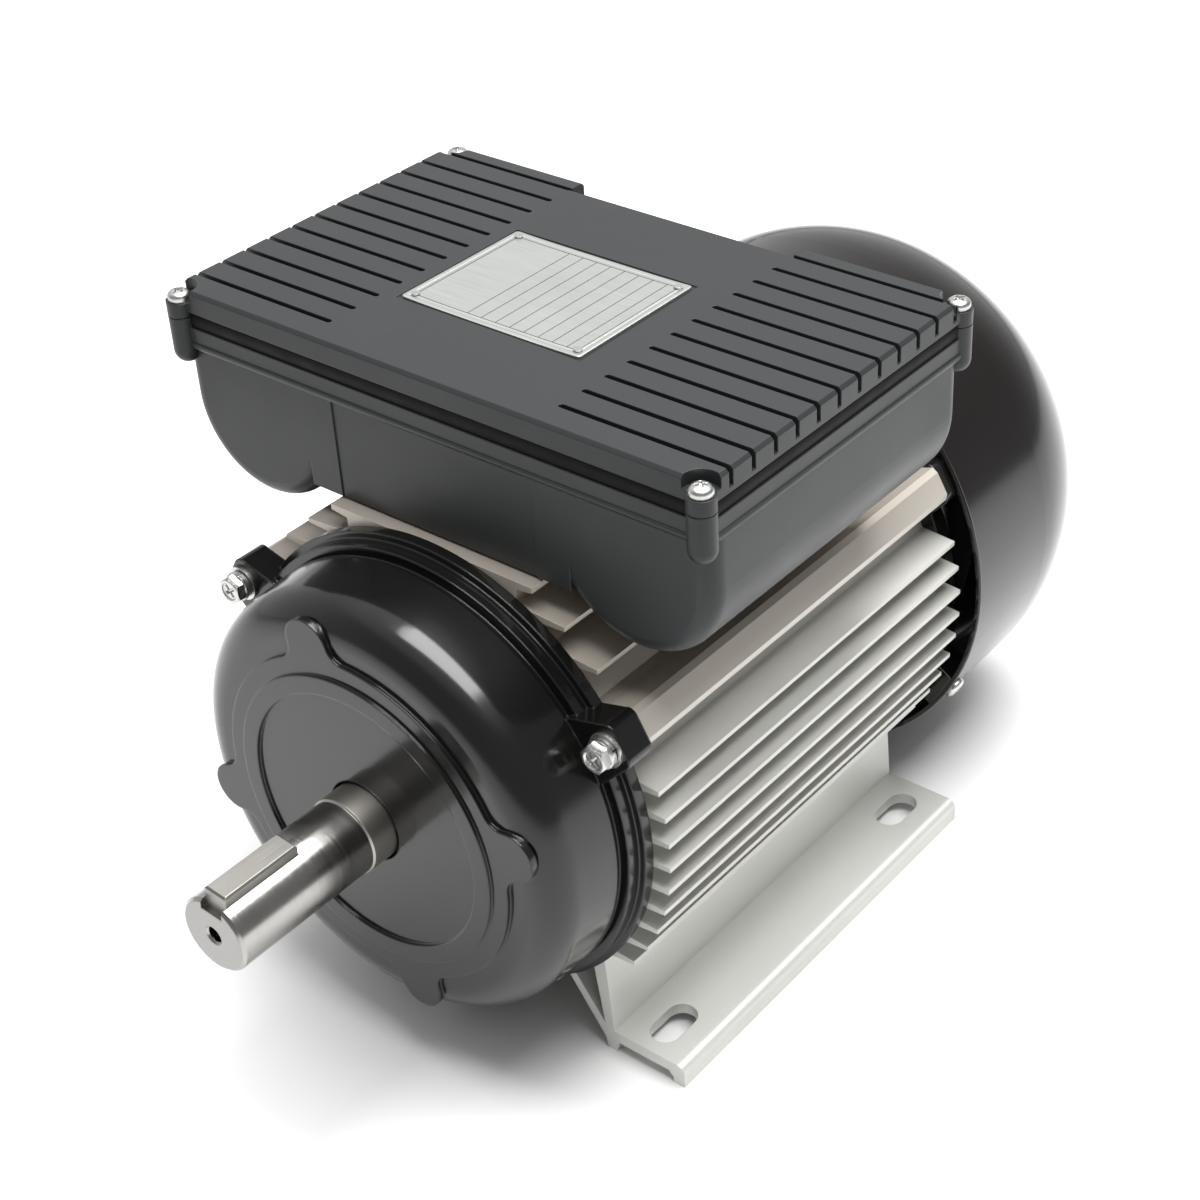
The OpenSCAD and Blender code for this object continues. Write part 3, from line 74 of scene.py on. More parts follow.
LOG = logging.getLogger("motor")
MM = 0.001
AXIS_Z = 90.0  # height of the shaft axis above the mounting plane, mm
TURN = 2 * np.pi
UP, ALONG = np.array([0, 0, 1.0]), np.array([1.0, 0, 0])  # directions of z and of the shaft

# Numbers of the Mix node's sockets, which its two kinds share by name
FACTOR, FLOAT_A, FLOAT_B, COLOUR_A, COLOUR_B = 0, 2, 3, 6, 7
FLOAT_OUT, COLOUR_OUT = 0, 2
RGBA, SMOOTH = {"data_type": "RGBA"}, {"interpolation_type": "SMOOTHSTEP"}  # node settings

PATCH_DETAIL, PATCH_FALLOFF = 3.0, 0.55
GRAIN_DETAIL, GRAIN_FALLOFF = 2.0, 0.6
NOISE_LOW, NOISE_HIGH = 0.3, 0.7  # nearly all of a noise texture's values lie between these
BEVEL_SAMPLES = 6

Skin = tuple[np.ndarray, list[tuple[int, ...]]]  # points in mm, and faces by the points' numbers
Socket = bpy.types.NodeSocket
Tree = bpy.types.NodeTree


# ----- Colours, nodes and finishes -----


def linear(hex_code: str) -> tuple[float, float, float, float]:
    """Turns an sRGB hex colour into the linear colour that a shader takes.

    Args:
        hex_code: Colour as "#rrggbb".

    Returns:
        Red, green, blue and alpha, linear.
    """
    code = hex_code.lstrip("#")
    srgb = np.array([int(code[i : i + 2], 16) for i in (0, 2, 4)]) / 255
    rgb = np.where(srgb <= 0.04045, srgb / 12.92, ((srgb + 0.055) / 1.055) ** 2.4)
    return (float(rgb[0]), float(rgb[1]), float(rgb[2]), 1.0)


def per_mm(size: float) -> float:
    """Gives the texture scale, in cycles per metre, of a pattern whose cell is size mm."""
    return 1.0 / (size * MM)


def empty_tree(owner: bpy.types.Material | bpy.types.World) -> Tree:
    """Turns on the nodes of a material or world and gives its tree, with nothing in it."""
    owner.use_nodes = True
    owner.node_tree.nodes.clear()
    return owner.node_tree


def add_node(
    tree: Tree, kind: str, settings: dict[str, object] | None = None,
    values: dict[str | int, object] | None = None, links: dict[str | int, Socket] | None = None,
) -> bpy.types.Node:
    """Adds one node with its settings, socket values and incoming links.

    Args:
        tree: Node tree that takes the node.
        kind: Blender's type name of the node.
        settings: Properties of the node.
        values: Values of its inputs, by name or number.
        links: Output sockets that feed its inputs, by name or number.

    Returns:
        The new node.
    """
    node = tree.nodes.new(kind)
    for key, value in (settings or {}).items():
        setattr(node, key, value)
    for key, value in (values or {}).items():
        node.inputs[key].default_value = value
    for key, socket in (links or {}).items():
        tree.links.new(socket, node.inputs[key])
    return node


class Texture(Enum):
    """How a surface was made, which decides the direction and form of its fine relief."""

    MOULDED = "fine even grain"
    EXTRUDED = "die lines along the motor"
    PAINTED = "slow orange peel"
    CAST = "coarse grain under the paint"
    TURNED = "rings about the shaft axis"
    ROLLED = "brushed across the plate"


@dataclass(frozen=True)
class Tint:
    """A change of colour and roughness along one axis, for real changes of finish and for painted
    reflection.

    Attributes:
        colour: sRGB colour under the full tint.
        axis: Number of the axis.
        start: Where the tint begins, mm.
        full: Where it is full, mm; below start when it spreads downwards.
        rough: Roughness under the full tint.
    """

    colour: str
    axis: int
    start: float
    full: float
    rough: float

    def lay_on(
        self, tree: Tree, place: Socket, colour: Socket, rough: Socket
    ) -> tuple[Socket, Socket]:
        """Turns colour and roughness to the tint's, evenly from start to full.

        Args:
            tree: Node tree of the material.
            place: Object coordinates.
            colour: Colour so far.
            rough: Roughness so far.

        Returns:
            The new colour and roughness.
        """
        axes = add_node(tree, "ShaderNodeSeparateXYZ", links={"Vector": place})
        share = add_node(
            tree, "ShaderNodeMapRange",
            values={"From Min": self.start * MM, "From Max": self.full * MM},
            links={"Value": axes.outputs[self.axis]}).outputs["Result"]
        tinted = add_node(
            tree, "ShaderNodeMix", settings=RGBA, values={COLOUR_B: linear(self.colour)},
            links={FACTOR: share, COLOUR_A: colour})
        dulled = add_node(
            tree, "ShaderNodeMix", values={FLOAT_B: self.rough},
            links={FACTOR: share, FLOAT_A: rough})
        return tinted.outputs[COLOUR_OUT], dulled.outputs[FLOAT_OUT]


@dataclass(frozen=True)
class BlankForm:
    """An empty form, printed on the nameplate in thin dark lines.

    Attributes:
        margin: Distance of its frame from the plate's edge, mm.
        line: Width of the frame's line, mm.
        pitch: Distance from one rule to the next, mm.
        rule_share: Width of a rule over the pitch.
        heading: Where the rules begin, mm from the plate's middle towards -Y.
        ink: sRGB colour of the lines.
    """

    margin: float = 2.8
    line: float = 0.3
    pitch: float = 5.2
    rule_share: float = 0.055
    heading: float = 10.5
    ink: str = "#3a3b3c"

    def print_on(self, tree: Tree, place: Socket, colour: Socket) -> Socket:
        """Lays the lines over the colour of the sheet.

        The reach is the larger of |x| and |y| from the plate's middle, each less half the frame's
        size. It is below 0 inside the frame, and above minus the line's width on its line. A rule
        is where the fraction of y over the pitch is below the rule's share, past the heading.

        Args:
            tree: Node tree of the material.
            place: Object coordinates.
            colour: Colour of the sheet.

        Returns:
            The colour with the lines on it.
        """
        low, high = box_mm("nameplate")
        half_x, half_y, _ = (((high - low) / 2 - self.margin) * MM).tolist()
        about = add_node(
            tree, "ShaderNodeMapping", values={"Location": tuple(-(low + high) / 2 * MM)},
            links={"Vector": place})
        axes = add_node(tree, "ShaderNodeSeparateXYZ", links={"Vector": about.outputs["Vector"]})
        found = {"x": axes.outputs["X"], "y": axes.outputs["Y"]}
        steps = (
            ("x off", "ABSOLUTE", "x", 0.0),
            ("y off", "ABSOLUTE", "y", 0.0),
            ("x over", "SUBTRACT", "x off", half_x),
            ("y over", "SUBTRACT", "y off", half_y),
            ("reach", "MAXIMUM", "x over", "y over"),
            ("inside", "LESS_THAN", "reach", 0.0),
            ("at edge", "GREATER_THAN", "reach", -self.line * MM),
            ("frame", "MULTIPLY", "inside", "at edge"),
            ("rows", "DIVIDE", "y", self.pitch * MM),
            ("row share", "FRACT", "rows", 0.0),
            ("on rule", "LESS_THAN", "row share", self.rule_share),
            ("rule", "MULTIPLY", "inside", "on rule"),
            ("past heading", "GREATER_THAN", "y", -self.heading * MM),
            ("table", "MULTIPLY", "rule", "past heading"),
            ("ink", "MAXIMUM", "frame", "table"),
        )
        for name, operation, first, second in steps:
            step = add_node(
                tree, "ShaderNodeMath", settings={"operation": operation}, links={0: found[first]})
            if isinstance(second, str):
                tree.links.new(found[second], step.inputs[1])
            else:
                step.inputs[1].default_value = second
            found[name] = step.outputs["Value"]
        return add_node(
            tree, "ShaderNodeMix", settings=RGBA, values={COLOUR_B: linear(self.ink)},
            links={FACTOR: found["ink"], COLOUR_A: colour}).outputs[COLOUR_OUT]


@dataclass(frozen=True)
class Finish:
    """One real material with its surface treatment, and any painted reflection laid on it.

    Attributes:
        name: Workshop name of the finish.
        colour: Main sRGB colour.
        second: sRGB colour that the main one drifts to, in soft patches.
        metallic: 1 for bare metal, 0 for paint, plastic and rubber.
        roughness: Mean roughness.
        rough_drift: How far roughness drifts either way.
        texture: Kind of fine relief.
        cell: Size of the relief's cell, mm.
        relief: Depth of the relief, mm.
        patch: Size of the colour patches, mm.
        coat: Weight of the clear outer layer.
        coat_rough: Roughness of that layer.
        edge: Radius of the softened edges, mm; 0 for none.
        streak: How many times longer a cell is than it is wide.
        specular: Strength of the mirror-like part of a non-metal.
        tints: Changes along an axis, of real finish and of painted reflection.
        form: Blank form that is printed on it, if any.
    """

    name: str
    colour: str
    second: str
    metallic: float = 0.0
    roughness: float = 0.4
    rough_drift: float = 0.05
    texture: Texture = Texture.MOULDED
    cell: float = 0.4
    relief: float = 0.01
    patch: float = 20.0
    coat: float = 0.0
    coat_rough: float = 0.1
    edge: float = 0.0
    streak: float = 60.0
    specular: float = 0.5
    tints: tuple[Tint, ...] = ()
    form: BlankForm | None = None

    def stretch(self) -> tuple[float, float, float]:
        """Gives the factors on x, y and z that lengthen the relief's cells.

        Returns:
            One factor per axis; below 1 means longer cells along that axis.
        """
        long = 1 / self.streak
        runs = {
            Texture.EXTRUDED: (long, 1.0, 1.0), Texture.ROLLED: (1.0, long, 1.0),
            Texture.TURNED: (1.0, long, long)}
        return runs.get(self.texture, (1.0, 1.0, 1.0))

    def build(self) -> bpy.types.Material:
        """Makes the Blender material.

        Returns:
            The material, with colour, roughness and relief that vary over the surface.
        """
        material = bpy.data.materials.new(self.name)
        tree = empty_tree(material)
        place = add_node(tree, "ShaderNodeTexCoord").outputs["Object"]
        grain_place = add_node(
            tree, "ShaderNodeMapping",
            values={"Location": (0, 0, -AXIS_Z * MM), "Scale": self.stretch()},
            links={"Vector": place})
        patches = add_node(
            tree, "ShaderNodeTexNoise",
            values={"Scale": per_mm(self.patch), "Detail": PATCH_DETAIL,
                "Roughness": PATCH_FALLOFF},
            links={"Vector": place})
        grain = add_node(
            tree, "ShaderNodeTexNoise",
            values={"Scale": per_mm(self.cell), "Detail": GRAIN_DETAIL, "Roughness": GRAIN_FALLOFF},
            links={"Vector": grain_place.outputs["Vector"]})
        tone = add_node(
            tree, "ShaderNodeMix", settings=RGBA,
            values={COLOUR_A: linear(self.colour), COLOUR_B: linear(self.second)},
            links={FACTOR: patches.outputs["Fac"]})
        wear = add_node(
            tree, "ShaderNodeMapRange",
            values={"From Min": NOISE_LOW, "From Max": NOISE_HIGH,
                "To Min": self.roughness - self.rough_drift,
                "To Max": self.roughness + self.rough_drift},
            links={"Value": grain.outputs["Fac"] if self.metallic else patches.outputs["Fac"]})
        colour, rough = tone.outputs[COLOUR_OUT], wear.outputs["Result"]
        for tint in self.tints:
            colour, rough = tint.lay_on(tree, place, colour, rough)
        if self.form:
            colour = self.form.print_on(tree, place, colour)
        relief = add_node(
            tree, "ShaderNodeBump", values={"Strength": 1.0, "Distance": self.relief * MM},
            links={"Height": grain.outputs["Fac"]})
        shader = add_node(
            tree, "ShaderNodeBsdfPrincipled",
            values={"Metallic": self.metallic, "Coat Weight": self.coat,
                "Coat Roughness": self.coat_rough, "Specular IOR Level": self.specular},
            links={"Base Color": colour, "Roughness": rough, "Normal": relief.outputs["Normal"]})
        if self.edge:
            soft = add_node(
                tree, "ShaderNodeBevel", settings={"samples": BEVEL_SAMPLES},
                values={"Radius": self.edge * MM}).outputs["Normal"]
            tree.links.new(soft, relief.inputs["Normal"])
            if self.coat:
                tree.links.new(soft, shader.inputs["Coat Normal"])
        add_node(tree, "ShaderNodeOutputMaterial", links={"Surface": shader.outputs["BSDF"]})
        return material


class Surface(Enum):
    """The finishes of the motor, each with what it gives the eye."""

    # Drawn aluminium, lightly etched: pale grey metal, faint die lines, satin sheen
    HOUSING = Finish(
        "extruded_aluminium", "#c6c6c2", "#bcbbb6", metallic=0.55, roughness=0.48,
        texture=Texture.EXTRUDED, cell=0.5, relief=0.006, patch=60, edge=0.2,
        tints=(
            # Painted reflection: warm brown on the upper fins, for the warm room they mirror
            Tint("#b6aea4", axis=2, start=114, full=138, rough=0.42),
            # Paler and a little rougher towards the feet
            Tint("#cfcfcb", axis=2, start=45, full=25, rough=0.5)))
    # Baked enamel on castings: deep black under a hard gloss with slow ripples
    CASTING_ENAMEL = Finish(
        "black_enamel_on_casting", "#0b0b0b", "#0f0f0e", texture=Texture.PAINTED, cell=6,
        relief=0.03, patch=25, coat=0.85, coat_rough=0.15, edge=0.9, specular=0.05)
    # The same enamel on drawn sheet, a little smoother
    SHEET_ENAMEL = Finish(
        "black_enamel_on_sheet", "#0c0a09", "#100d0c", texture=Texture.PAINTED, cell=9, relief=0.03,
        patch=60, coat=0.85, coat_rough=0.08, edge=0.5, specular=0.05)
    # Glass-filled ABS out of an etched mould: even dark grey, satin
    BOX_PLASTIC = Finish(
        "moulded_abs", "#232526", "#1e2021", cell=0.35, relief=0.006, patch=45, edge=0.45,
        specular=0.35)
    # Ground carbon steel: bright, with fine grinding rings, duller on the wider seat and the end
    SHAFT = Finish(
        "ground_steel", "#a9a7a3", "#9b9996", metallic=1.0, roughness=0.21, texture=Texture.TURNED,
        cell=0.25, relief=0.0015, patch=12, edge=0.15,
        tints=(
            Tint("#a29e98", axis=0, start=122.6, full=122.4, rough=0.38),
            Tint("#a1a09e", axis=0, start=172.2, full=172.4, rough=0.5)))
    # Cold-drawn key stock, greyer than the shaft
    KEY = Finish(
        "drawn_key_steel", "#979590", "#8b8984", metallic=1.0, roughness=0.36, rough_drift=0.04,
        texture=Texture.EXTRUDED, cell=0.3, relief=0.0015, patch=6, edge=0.25)
    # Bright zinc on rolled threads and pressed heads: silvery, a little uneven
    ZINC = Finish(
        "bright_zinc", "#c9cac8", "#bcbdb9", metallic=1.0, roughness=0.3, rough_drift=0.06,
        cell=0.5, relief=0.004, patch=3, edge=0.12)
    # Punched electrical steel, blued in an oven: dull blue-grey, with the sheets' edges as rings
    LAMINATIONS = Finish(
        "blued_laminations", "#5a5d62", "#4b4d52", metallic=1.0, roughness=0.45, rough_drift=0.08,
        texture=Texture.TURNED, cell=0.5, relief=0.05)
    # Copper wire under baked varnish: dark red-brown strands with a wet gloss
    WINDING = Finish(
        "varnished_copper", "#8c4321", "#6f3018", metallic=0.6, roughness=0.35, rough_drift=0.08,
        texture=Texture.TURNED, cell=1.0, relief=0.3, patch=8, coat=0.6, coat_rough=0.2)
    # Aluminium out of a die: pale, with a coarse skin
    CAST_METAL = Finish(
        "die_cast_aluminium", "#b9bbbd", "#a9abad", metallic=1.0, roughness=0.45, rough_drift=0.06,
        texture=Texture.CAST, cell=1.2, relief=0.03, patch=10, edge=0.3)
    # Hardened and ground steel: near to a mirror
    BEARING = Finish(
        "hardened_steel", "#c3c6c9", "#b7babd", metallic=1.0, roughness=0.12, rough_drift=0.03,
        texture=Texture.TURNED, cell=0.2, relief=0.0008, patch=10, edge=0.2)
    # Rolled and turned brass: warm yellow, lightly dulled
    BRASS = Finish(
        "plain_brass", "#c8a24c", "#b58f3d", metallic=1.0, roughness=0.28, relief=0.004, patch=6,
        edge=0.15)
    # Nitrile rubber out of a press: matt black
    RUBBER = Finish(
        "moulded_rubber", "#0d0c0b", "#110f0e", roughness=0.62, rough_drift=0.06, patch=8, edge=0.2,
        specular=0.15)
    # Polypropylene out of a plain mould: near black with a waxy sheen
    FAN_PLASTIC = Finish(
        "moulded_polypropylene", "#1d1e1f", "#242526", roughness=0.5, rough_drift=0.06, cell=0.6,
        edge=0.3)
    # Polyamide out of a plain mould: near black, a little harder in its shine
    GLAND_PLASTIC = Finish(
        "moulded_polyamide", "#1b1c1d", "#222324", roughness=0.45, rough_drift=0.06, patch=10,
        edge=0.3)
    # Polypropylene without pigment: off-white, soft sheen
    WHITE_PLASTIC = Finish("white_polypropylene", "#d9d8d0", "#cfcdc3", cell=0.5, edge=0.4)
    # Phenolic resin pressed with mineral powder: red-brown, satin, faintly mottled
    BOARD = Finish(
        "moulded_phenolic", "#7a2a1c", "#692216", roughness=0.4, rough_drift=0.06, cell=0.5,
        relief=0.02, patch=6, edge=0.3)
    # Silicone sleeving over the leads: dark red, soft sheen
    LEAD = Finish("silicone_sleeve", "#7a1f1a", "#651713", roughness=0.5, cell=0.3, patch=6)
    # Rolled aluminium sheet, brushed one way, with a thin clear lacquer
    PLATE = Finish(
        "brushed_aluminium", "#a6a8a5", "#9b9d9a", metallic=0.8, roughness=0.42,
        texture=Texture.ROLLED, cell=0.3, relief=0.0015, patch=25, coat=0.2, coat_rough=0.25,
        form=BlankForm())


@cache
def paint(surface: Surface) -> bpy.types.Material:
    """Gives the material of a finish, made the first time that it is asked for."""
    return surface.value.build()


# ----- Frame nodes -----

NODE_FINISHES: dict[Surface, tuple[str, ...]] = {
    Surface.HOUSING: ("housing",),
    Surface.CASTING_ENAMEL: ("drive_end_shield", "rear_end_shield"),
    Surface.SHEET_ENAMEL: ("fan_cover",),
    Surface.BOX_PLASTIC: ("capacitor_box", "box_lid"),
    Surface.SHAFT: ("shaft",),
    Surface.KEY: ("shaft_key",),
    Surface.ZINC: (
        "tie_bolts", "tie_bolt_washers", "fan_cover_screws", "box_screws", "lid_screws",
        "capacitor_clips", "governor_pins", "switch_arm_pin", "nameplate_rivets"),
    Surface.LAMINATIONS: ("stator_core", "rotor_core"),
    Surface.WINDING: ("stator_windings",),
    Surface.CAST_METAL: ("rotor_cage", "governor_weight_upper", "governor_weight_lower"),
    Surface.BEARING: (
        "drive_bearing_outer", "drive_bearing_inner", "drive_bearing_balls",
        "rear_bearing_outer", "rear_bearing_inner", "rear_bearing_balls", "wave_washer",
        "fan_clip"),
    Surface.BRASS: (
        "switch_arm", "switch_contact", "terminal_studs", "terminal_links", "earth_screw",
        "governor_base"),
    Surface.RUBBER: ("shaft_seal", "box_gasket", "lid_seal", "lead_grommet", "gland_seal"),
    Surface.FAN_PLASTIC: ("fan", "drive_bearing_cage", "rear_bearing_cage", "start_capacitor"),
    Surface.GLAND_PLASTIC: ("gland_body", "gland_nut", "gland_locknut"),
    Surface.WHITE_PLASTIC: ("run_capacitor", "governor_sleeve"),
    Surface.BOARD: ("terminal_board", "switch_board"),
    Surface.LEAD: ("winding_leads",),
    Surface.PLATE: ("nameplate",),
}


def dress_frame() -> None:
    """Gives every CAD node its finish."""
    for surface, names in NODE_FINISHES.items():
        for name in names:
            node = frame["nodes"][name]
            node.data.materials.clear()
            node.data.materials.append(paint(surface))
            LOG.info("dressed %s in %s", name, surface.value.name)


# ----- Surfaces -----


def smooth_step(share: np.ndarray) -> np.ndarray:
    """Rises smoothly from 0 to 1: 3 t squared less 2 t cubed, with t held between 0 and 1."""
    t = np.clip(share, 0, 1)
    return t * t * (3 - 2 * t)


def closed_skin(grid: np.ndarray) -> Skin:
    """Turns a grid whose columns close on themselves into a closed skin.

    The first and the last row are one point each, so the ends are fans of triangles and the rest
    is quads.

    Args:
        grid: Points of shape (rows, columns, 3).

    Returns:
        Points and faces.
    """
    rows, turns, _ = grid.shape
    points = np.vstack([grid[0, :1], grid[1:-1].reshape(-1, 3), grid[-1, :1]])
    ring = 1 + np.arange((rows - 2) * turns).reshape(rows - 2, turns)
    after = np.roll(ring, -1, axis=1)
    quads = np.stack([ring[:-1], ring[1:], after[1:], after[:-1]], axis=-1).reshape(-1, 4)
    end = np.full(turns, len(points) - 1)
    fans = np.vstack([
        np.stack([np.zeros(turns, int), ring[0], after[0]], axis=-1),
        np.stack([ring[-1], end, after[-1]], axis=-1)])
    return points, [tuple(f) for f in quads.tolist()] + [tuple(f) for f in fans.tolist()]


def ring_skin(grid: np.ndarray) -> Skin:
    """Turns a grid whose rows and columns both close on themselves into a ring's skin.

    Args:
        grid: Points of shape (rows, columns, 3).

    Returns:
        Points and faces.
    """
    rows, turns, _ = grid.shape
    ring = np.arange(rows * turns).reshape(rows, turns)
    down, after = np.roll(ring, -1, axis=0), np.roll(ring, -1, axis=1)
    both = np.roll(down, -1, axis=1)
    quads = np.stack([ring, down, both, after], axis=-1).reshape(-1, 4)
    return grid.reshape(-1, 3), [tuple(f) for f in quads.tolist()]


def placed(skin: Skin, origin: np.ndarray, out: np.ndarray, side: np.ndarray) -> Skin:
    """Carries a skin from a piece's own axes to the motor's.

    A point (x, y, z) goes to origin + x side + y (out x side) + z out.

    Args:
        skin: Points in mm and faces.
        origin: Where the piece's own origin lies, mm.
        out: Direction of its z axis.
        side: Direction of its x axis.

    Returns:
        The skin in the motor's frame, mm.
    """
    points, faces = skin
    return origin + points @ np.stack([side, np.cross(out, side), out]), faces


def stand(name: str, data: bpy.types.ID) -> bpy.types.Object:
    """Makes an object of a mesh, light or camera, and puts it into the scene."""
    thing = bpy.data.objects.new(name, data)
    bpy.context.scene.collection.objects.link(thing)
    return thing


def make_piece(
    name: str, skins: list[Skin], surface: Surface, body: str, node: str,
    crease: float = 35.0,
) -> None:
    """Joins skins to one piece that stands for a CAD node and rides on its body.

    Args:
        name: Name of the piece.
        skins: Points in mm and faces of each closed skin.
        surface: Its finish.
        body: Body that carries it.
        node: CAD node that it replaces; empty for none.
        crease: Angle above which an edge stays sharp, degrees.
    """
    starts = np.cumsum([0] + [len(points) for points, _ in skins])
    faces = [
        tuple(i + int(start) for i in face)
        for start, (_, own) in zip(starts, skins) for face in own]
    mesh = bpy.data.meshes.new(name)
    mesh.from_pydata((np.vstack([points for points, _ in skins]) * MM).tolist(), [], faces)
    shell = bmesh.new()
    shell.from_mesh(mesh)
    bmesh.ops.recalc_face_normals(shell, faces=shell.faces)
    shell.to_mesh(mesh)
    shell.free()
    mesh.polygons.foreach_set("use_smooth", np.ones(len(mesh.polygons), dtype=bool))
    mesh.set_sharp_from_angle(angle=np.radians(crease))
    mesh.materials.append(paint(surface))
    piece = stand(name, mesh)
    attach(piece, body)
    if node:
        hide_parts(node)
    LOG.info("made %s: %d faces on %s, for %s", name, len(faces), body, node or "no node")


def box_mm(node: str) -> tuple[np.ndarray, np.ndarray]:
    """Gives the lowest and highest corner of a CAD node, mm."""
    low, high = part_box(node)
    return np.array(low) / MM, np.array(high) / MM


# ----- Fasteners -----


@dataclass(frozen=True)
class Screw:
    """One kind of screw, worked out about its own axis with its seat at height 0.

    Attributes:
        head_r: Radius of a round head, or half the width across flats of a hexagon head, mm.
        head_h: Height of the head, mm.
        side_h: Height at which the crown begins, mm.
        shank_r: Radius of the shank, mm.
        hexagon: Whether the head is a hexagon.
        flange_r: Radius of the flange under the head, mm; 0 for none.
        flange_t: Its thickness, mm.
        cross_l: Half length of the cross recess, mm.
        cross_w: Width of its arms, mm.
        cross_d: Its depth, mm.
        cross_side: Width of its sloping side, mm.
        cross_rise: Share of its depth that is lost towards an arm's end.
        dish_r: Radius of the shallow dish around the cross, mm; 0 for none.
        dish_d, dish_side: Depth of the dish and width of its sloping side, mm.
        crown_power: Power of the flattened ellipse of a round head; 2 is a true ellipse.
        cone: Share of a hexagon's half width where its cone begins, and its slope in degrees.
        side_in: How far the straight side stays below the crown and above the flange, mm.
        flange_cut: Width and height of the slope on the flange's rim, mm.
        seat_cut: Width and height of the cut on a head's edge at the seat, mm.
        tip_cut: Width and height of the cut at the shank's tip, mm.
        columns: Points round the axis.
        rings: Points from the middle of the head to its rim.
    """

    head_r: float
    head_h: float
    side_h: float
    shank_r: float
    hexagon: bool = False
    flange_r: float = 0.0
    flange_t: float = 0.0
    cross_l: float = 1.9
    cross_w: float = 0.95
    cross_d: float = 1.3
    cross_side: float = 0.16
    cross_rise: float = 0.5
    dish_r: float = 0.0
    dish_d: float = 0.45
    dish_side: float = 0.5
    crown_power: float = 2.6
    cone: tuple[float, float] = (0.93, 30.0)
    side_in: tuple[float, float] = (0.15, 0.25)
    flange_cut: tuple[float, float] = (0.3, 0.25)
    seat_cut: tuple[float, float] = (0.1, 0.12)
    tip_cut: tuple[float, float] = (0.5, 0.6)
    columns: int = 96
    rings: int = 52

    def recess(self, across: np.ndarray, along: np.ndarray) -> np.ndarray:
        """Works out how deep the cross recess is.

        A point lies in the cross when it is within half an arm's width of either centre line and
        within the arm's length. The depth rises from the rim over the width of the side, and is
        greatest in the middle.

        Args:
            across: First coordinate on the head, mm.
            along: Second coordinate, mm.

        Returns:
            Depth below the crown, mm.
        """
        u, v = np.abs(across), np.abs(along)
        arm = self.cross_w / 2
        over_u = np.maximum(u - arm, v - self.cross_l)
        over_v = np.maximum(v - arm, u - self.cross_l)
        reach = np.clip(np.hypot(u, v) / self.cross_l, 0, 1)
        inside = smooth_step(-np.minimum(over_u, over_v) / self.cross_side)
        return self.cross_d * inside * (1 - self.cross_rise * reach)

    def crown(self, angle: np.ndarray, outline: np.ndarray) -> tuple[np.ndarray, np.ndarray]:
        """Works out the top of the head, from its middle to its rim.

        A round head falls from head_h to side_h as a flattened ellipse of the radius. A hexagon is
        level up to the cone that cuts its corners. The dish and the recess are taken off both.

        Args:
            angle: Directions round the axis, radians.
            outline: The head's radius in each direction, over head_r.

        Returns:
            Radius and height of each point, both of shape (rings, columns), mm.
        """
        share = np.sin(np.linspace(0, np.pi / 2, self.rings))[:, None]
        radius = self.head_r * share * (1 + (outline - 1) * share**2)
        if self.hexagon:
            start, slope = self.cone
            over = np.maximum(radius - start * self.head_r, 0)
            height = self.head_h - over * np.tan(np.radians(slope))
        else:
            arch = (1 - share**self.crown_power) ** (1 / self.crown_power)
            height = self.side_h + (self.head_h - self.side_h) * arch + 0 * radius
        if self.dish_r:
            height = height - self.dish_d * smooth_step((self.dish_r - radius) / self.dish_side)
        return radius, height - self.recess(radius * np.cos(angle), radius * np.sin(angle))

    def build(self, shank_l: float, turn: float) -> Skin:
        """Makes the screw as rings of points from the middle of its head to the shank's tip.

        A hexagon's radius is its half width over the cosine of the angle from the nearest flat.
        Under the crown come side, flange, seat and shank, each ring at one radius and height.

        Args:
            shank_l: Length of the shank, mm.
            turn: Angle that the cross and the flats are turned by, radians.

        Returns:
            Points in mm and faces.
        """
        angle = np.linspace(0, TURN, self.columns, endpoint=False)
        flat = (angle % (TURN / 6)) - TURN / 12
        outline = 1 / np.cos(flat) if self.hexagon else np.ones_like(angle)
        radius, height = self.crown(angle, outline)
        rim, wide, thin, top = self.head_r * outline, self.flange_r, self.shank_r, self.flange_t
        rings = [(rim, height[-1] - self.side_in[0]), (rim, top + self.side_in[1])]
        cut, rise = self.seat_cut
        if wide:
            slope, drop = self.flange_cut
            rings += [(rim + cut, top + cut), (wide - slope, top), (wide, top - drop)]
            rings += [(wide, cut), (wide - cut, 0)]
        else:
            rings += [(rim, rise), (rim - cut, 0)]
        cut, rise = self.tip_cut
        rings += [(thin, 0), (thin, rise - shank_l), (thin - cut, -shank_l), (0, -shank_l)]
        around = np.ones_like(rim)
        radius = np.vstack([radius] + [r * around for r, _ in rings])
        height = np.vstack([height] + [h * around for _, h in rings])
        x, y = radius * np.cos(angle + turn), radius * np.sin(angle + turn)
        return closed_skin(np.stack([x, y, height], axis=-1))


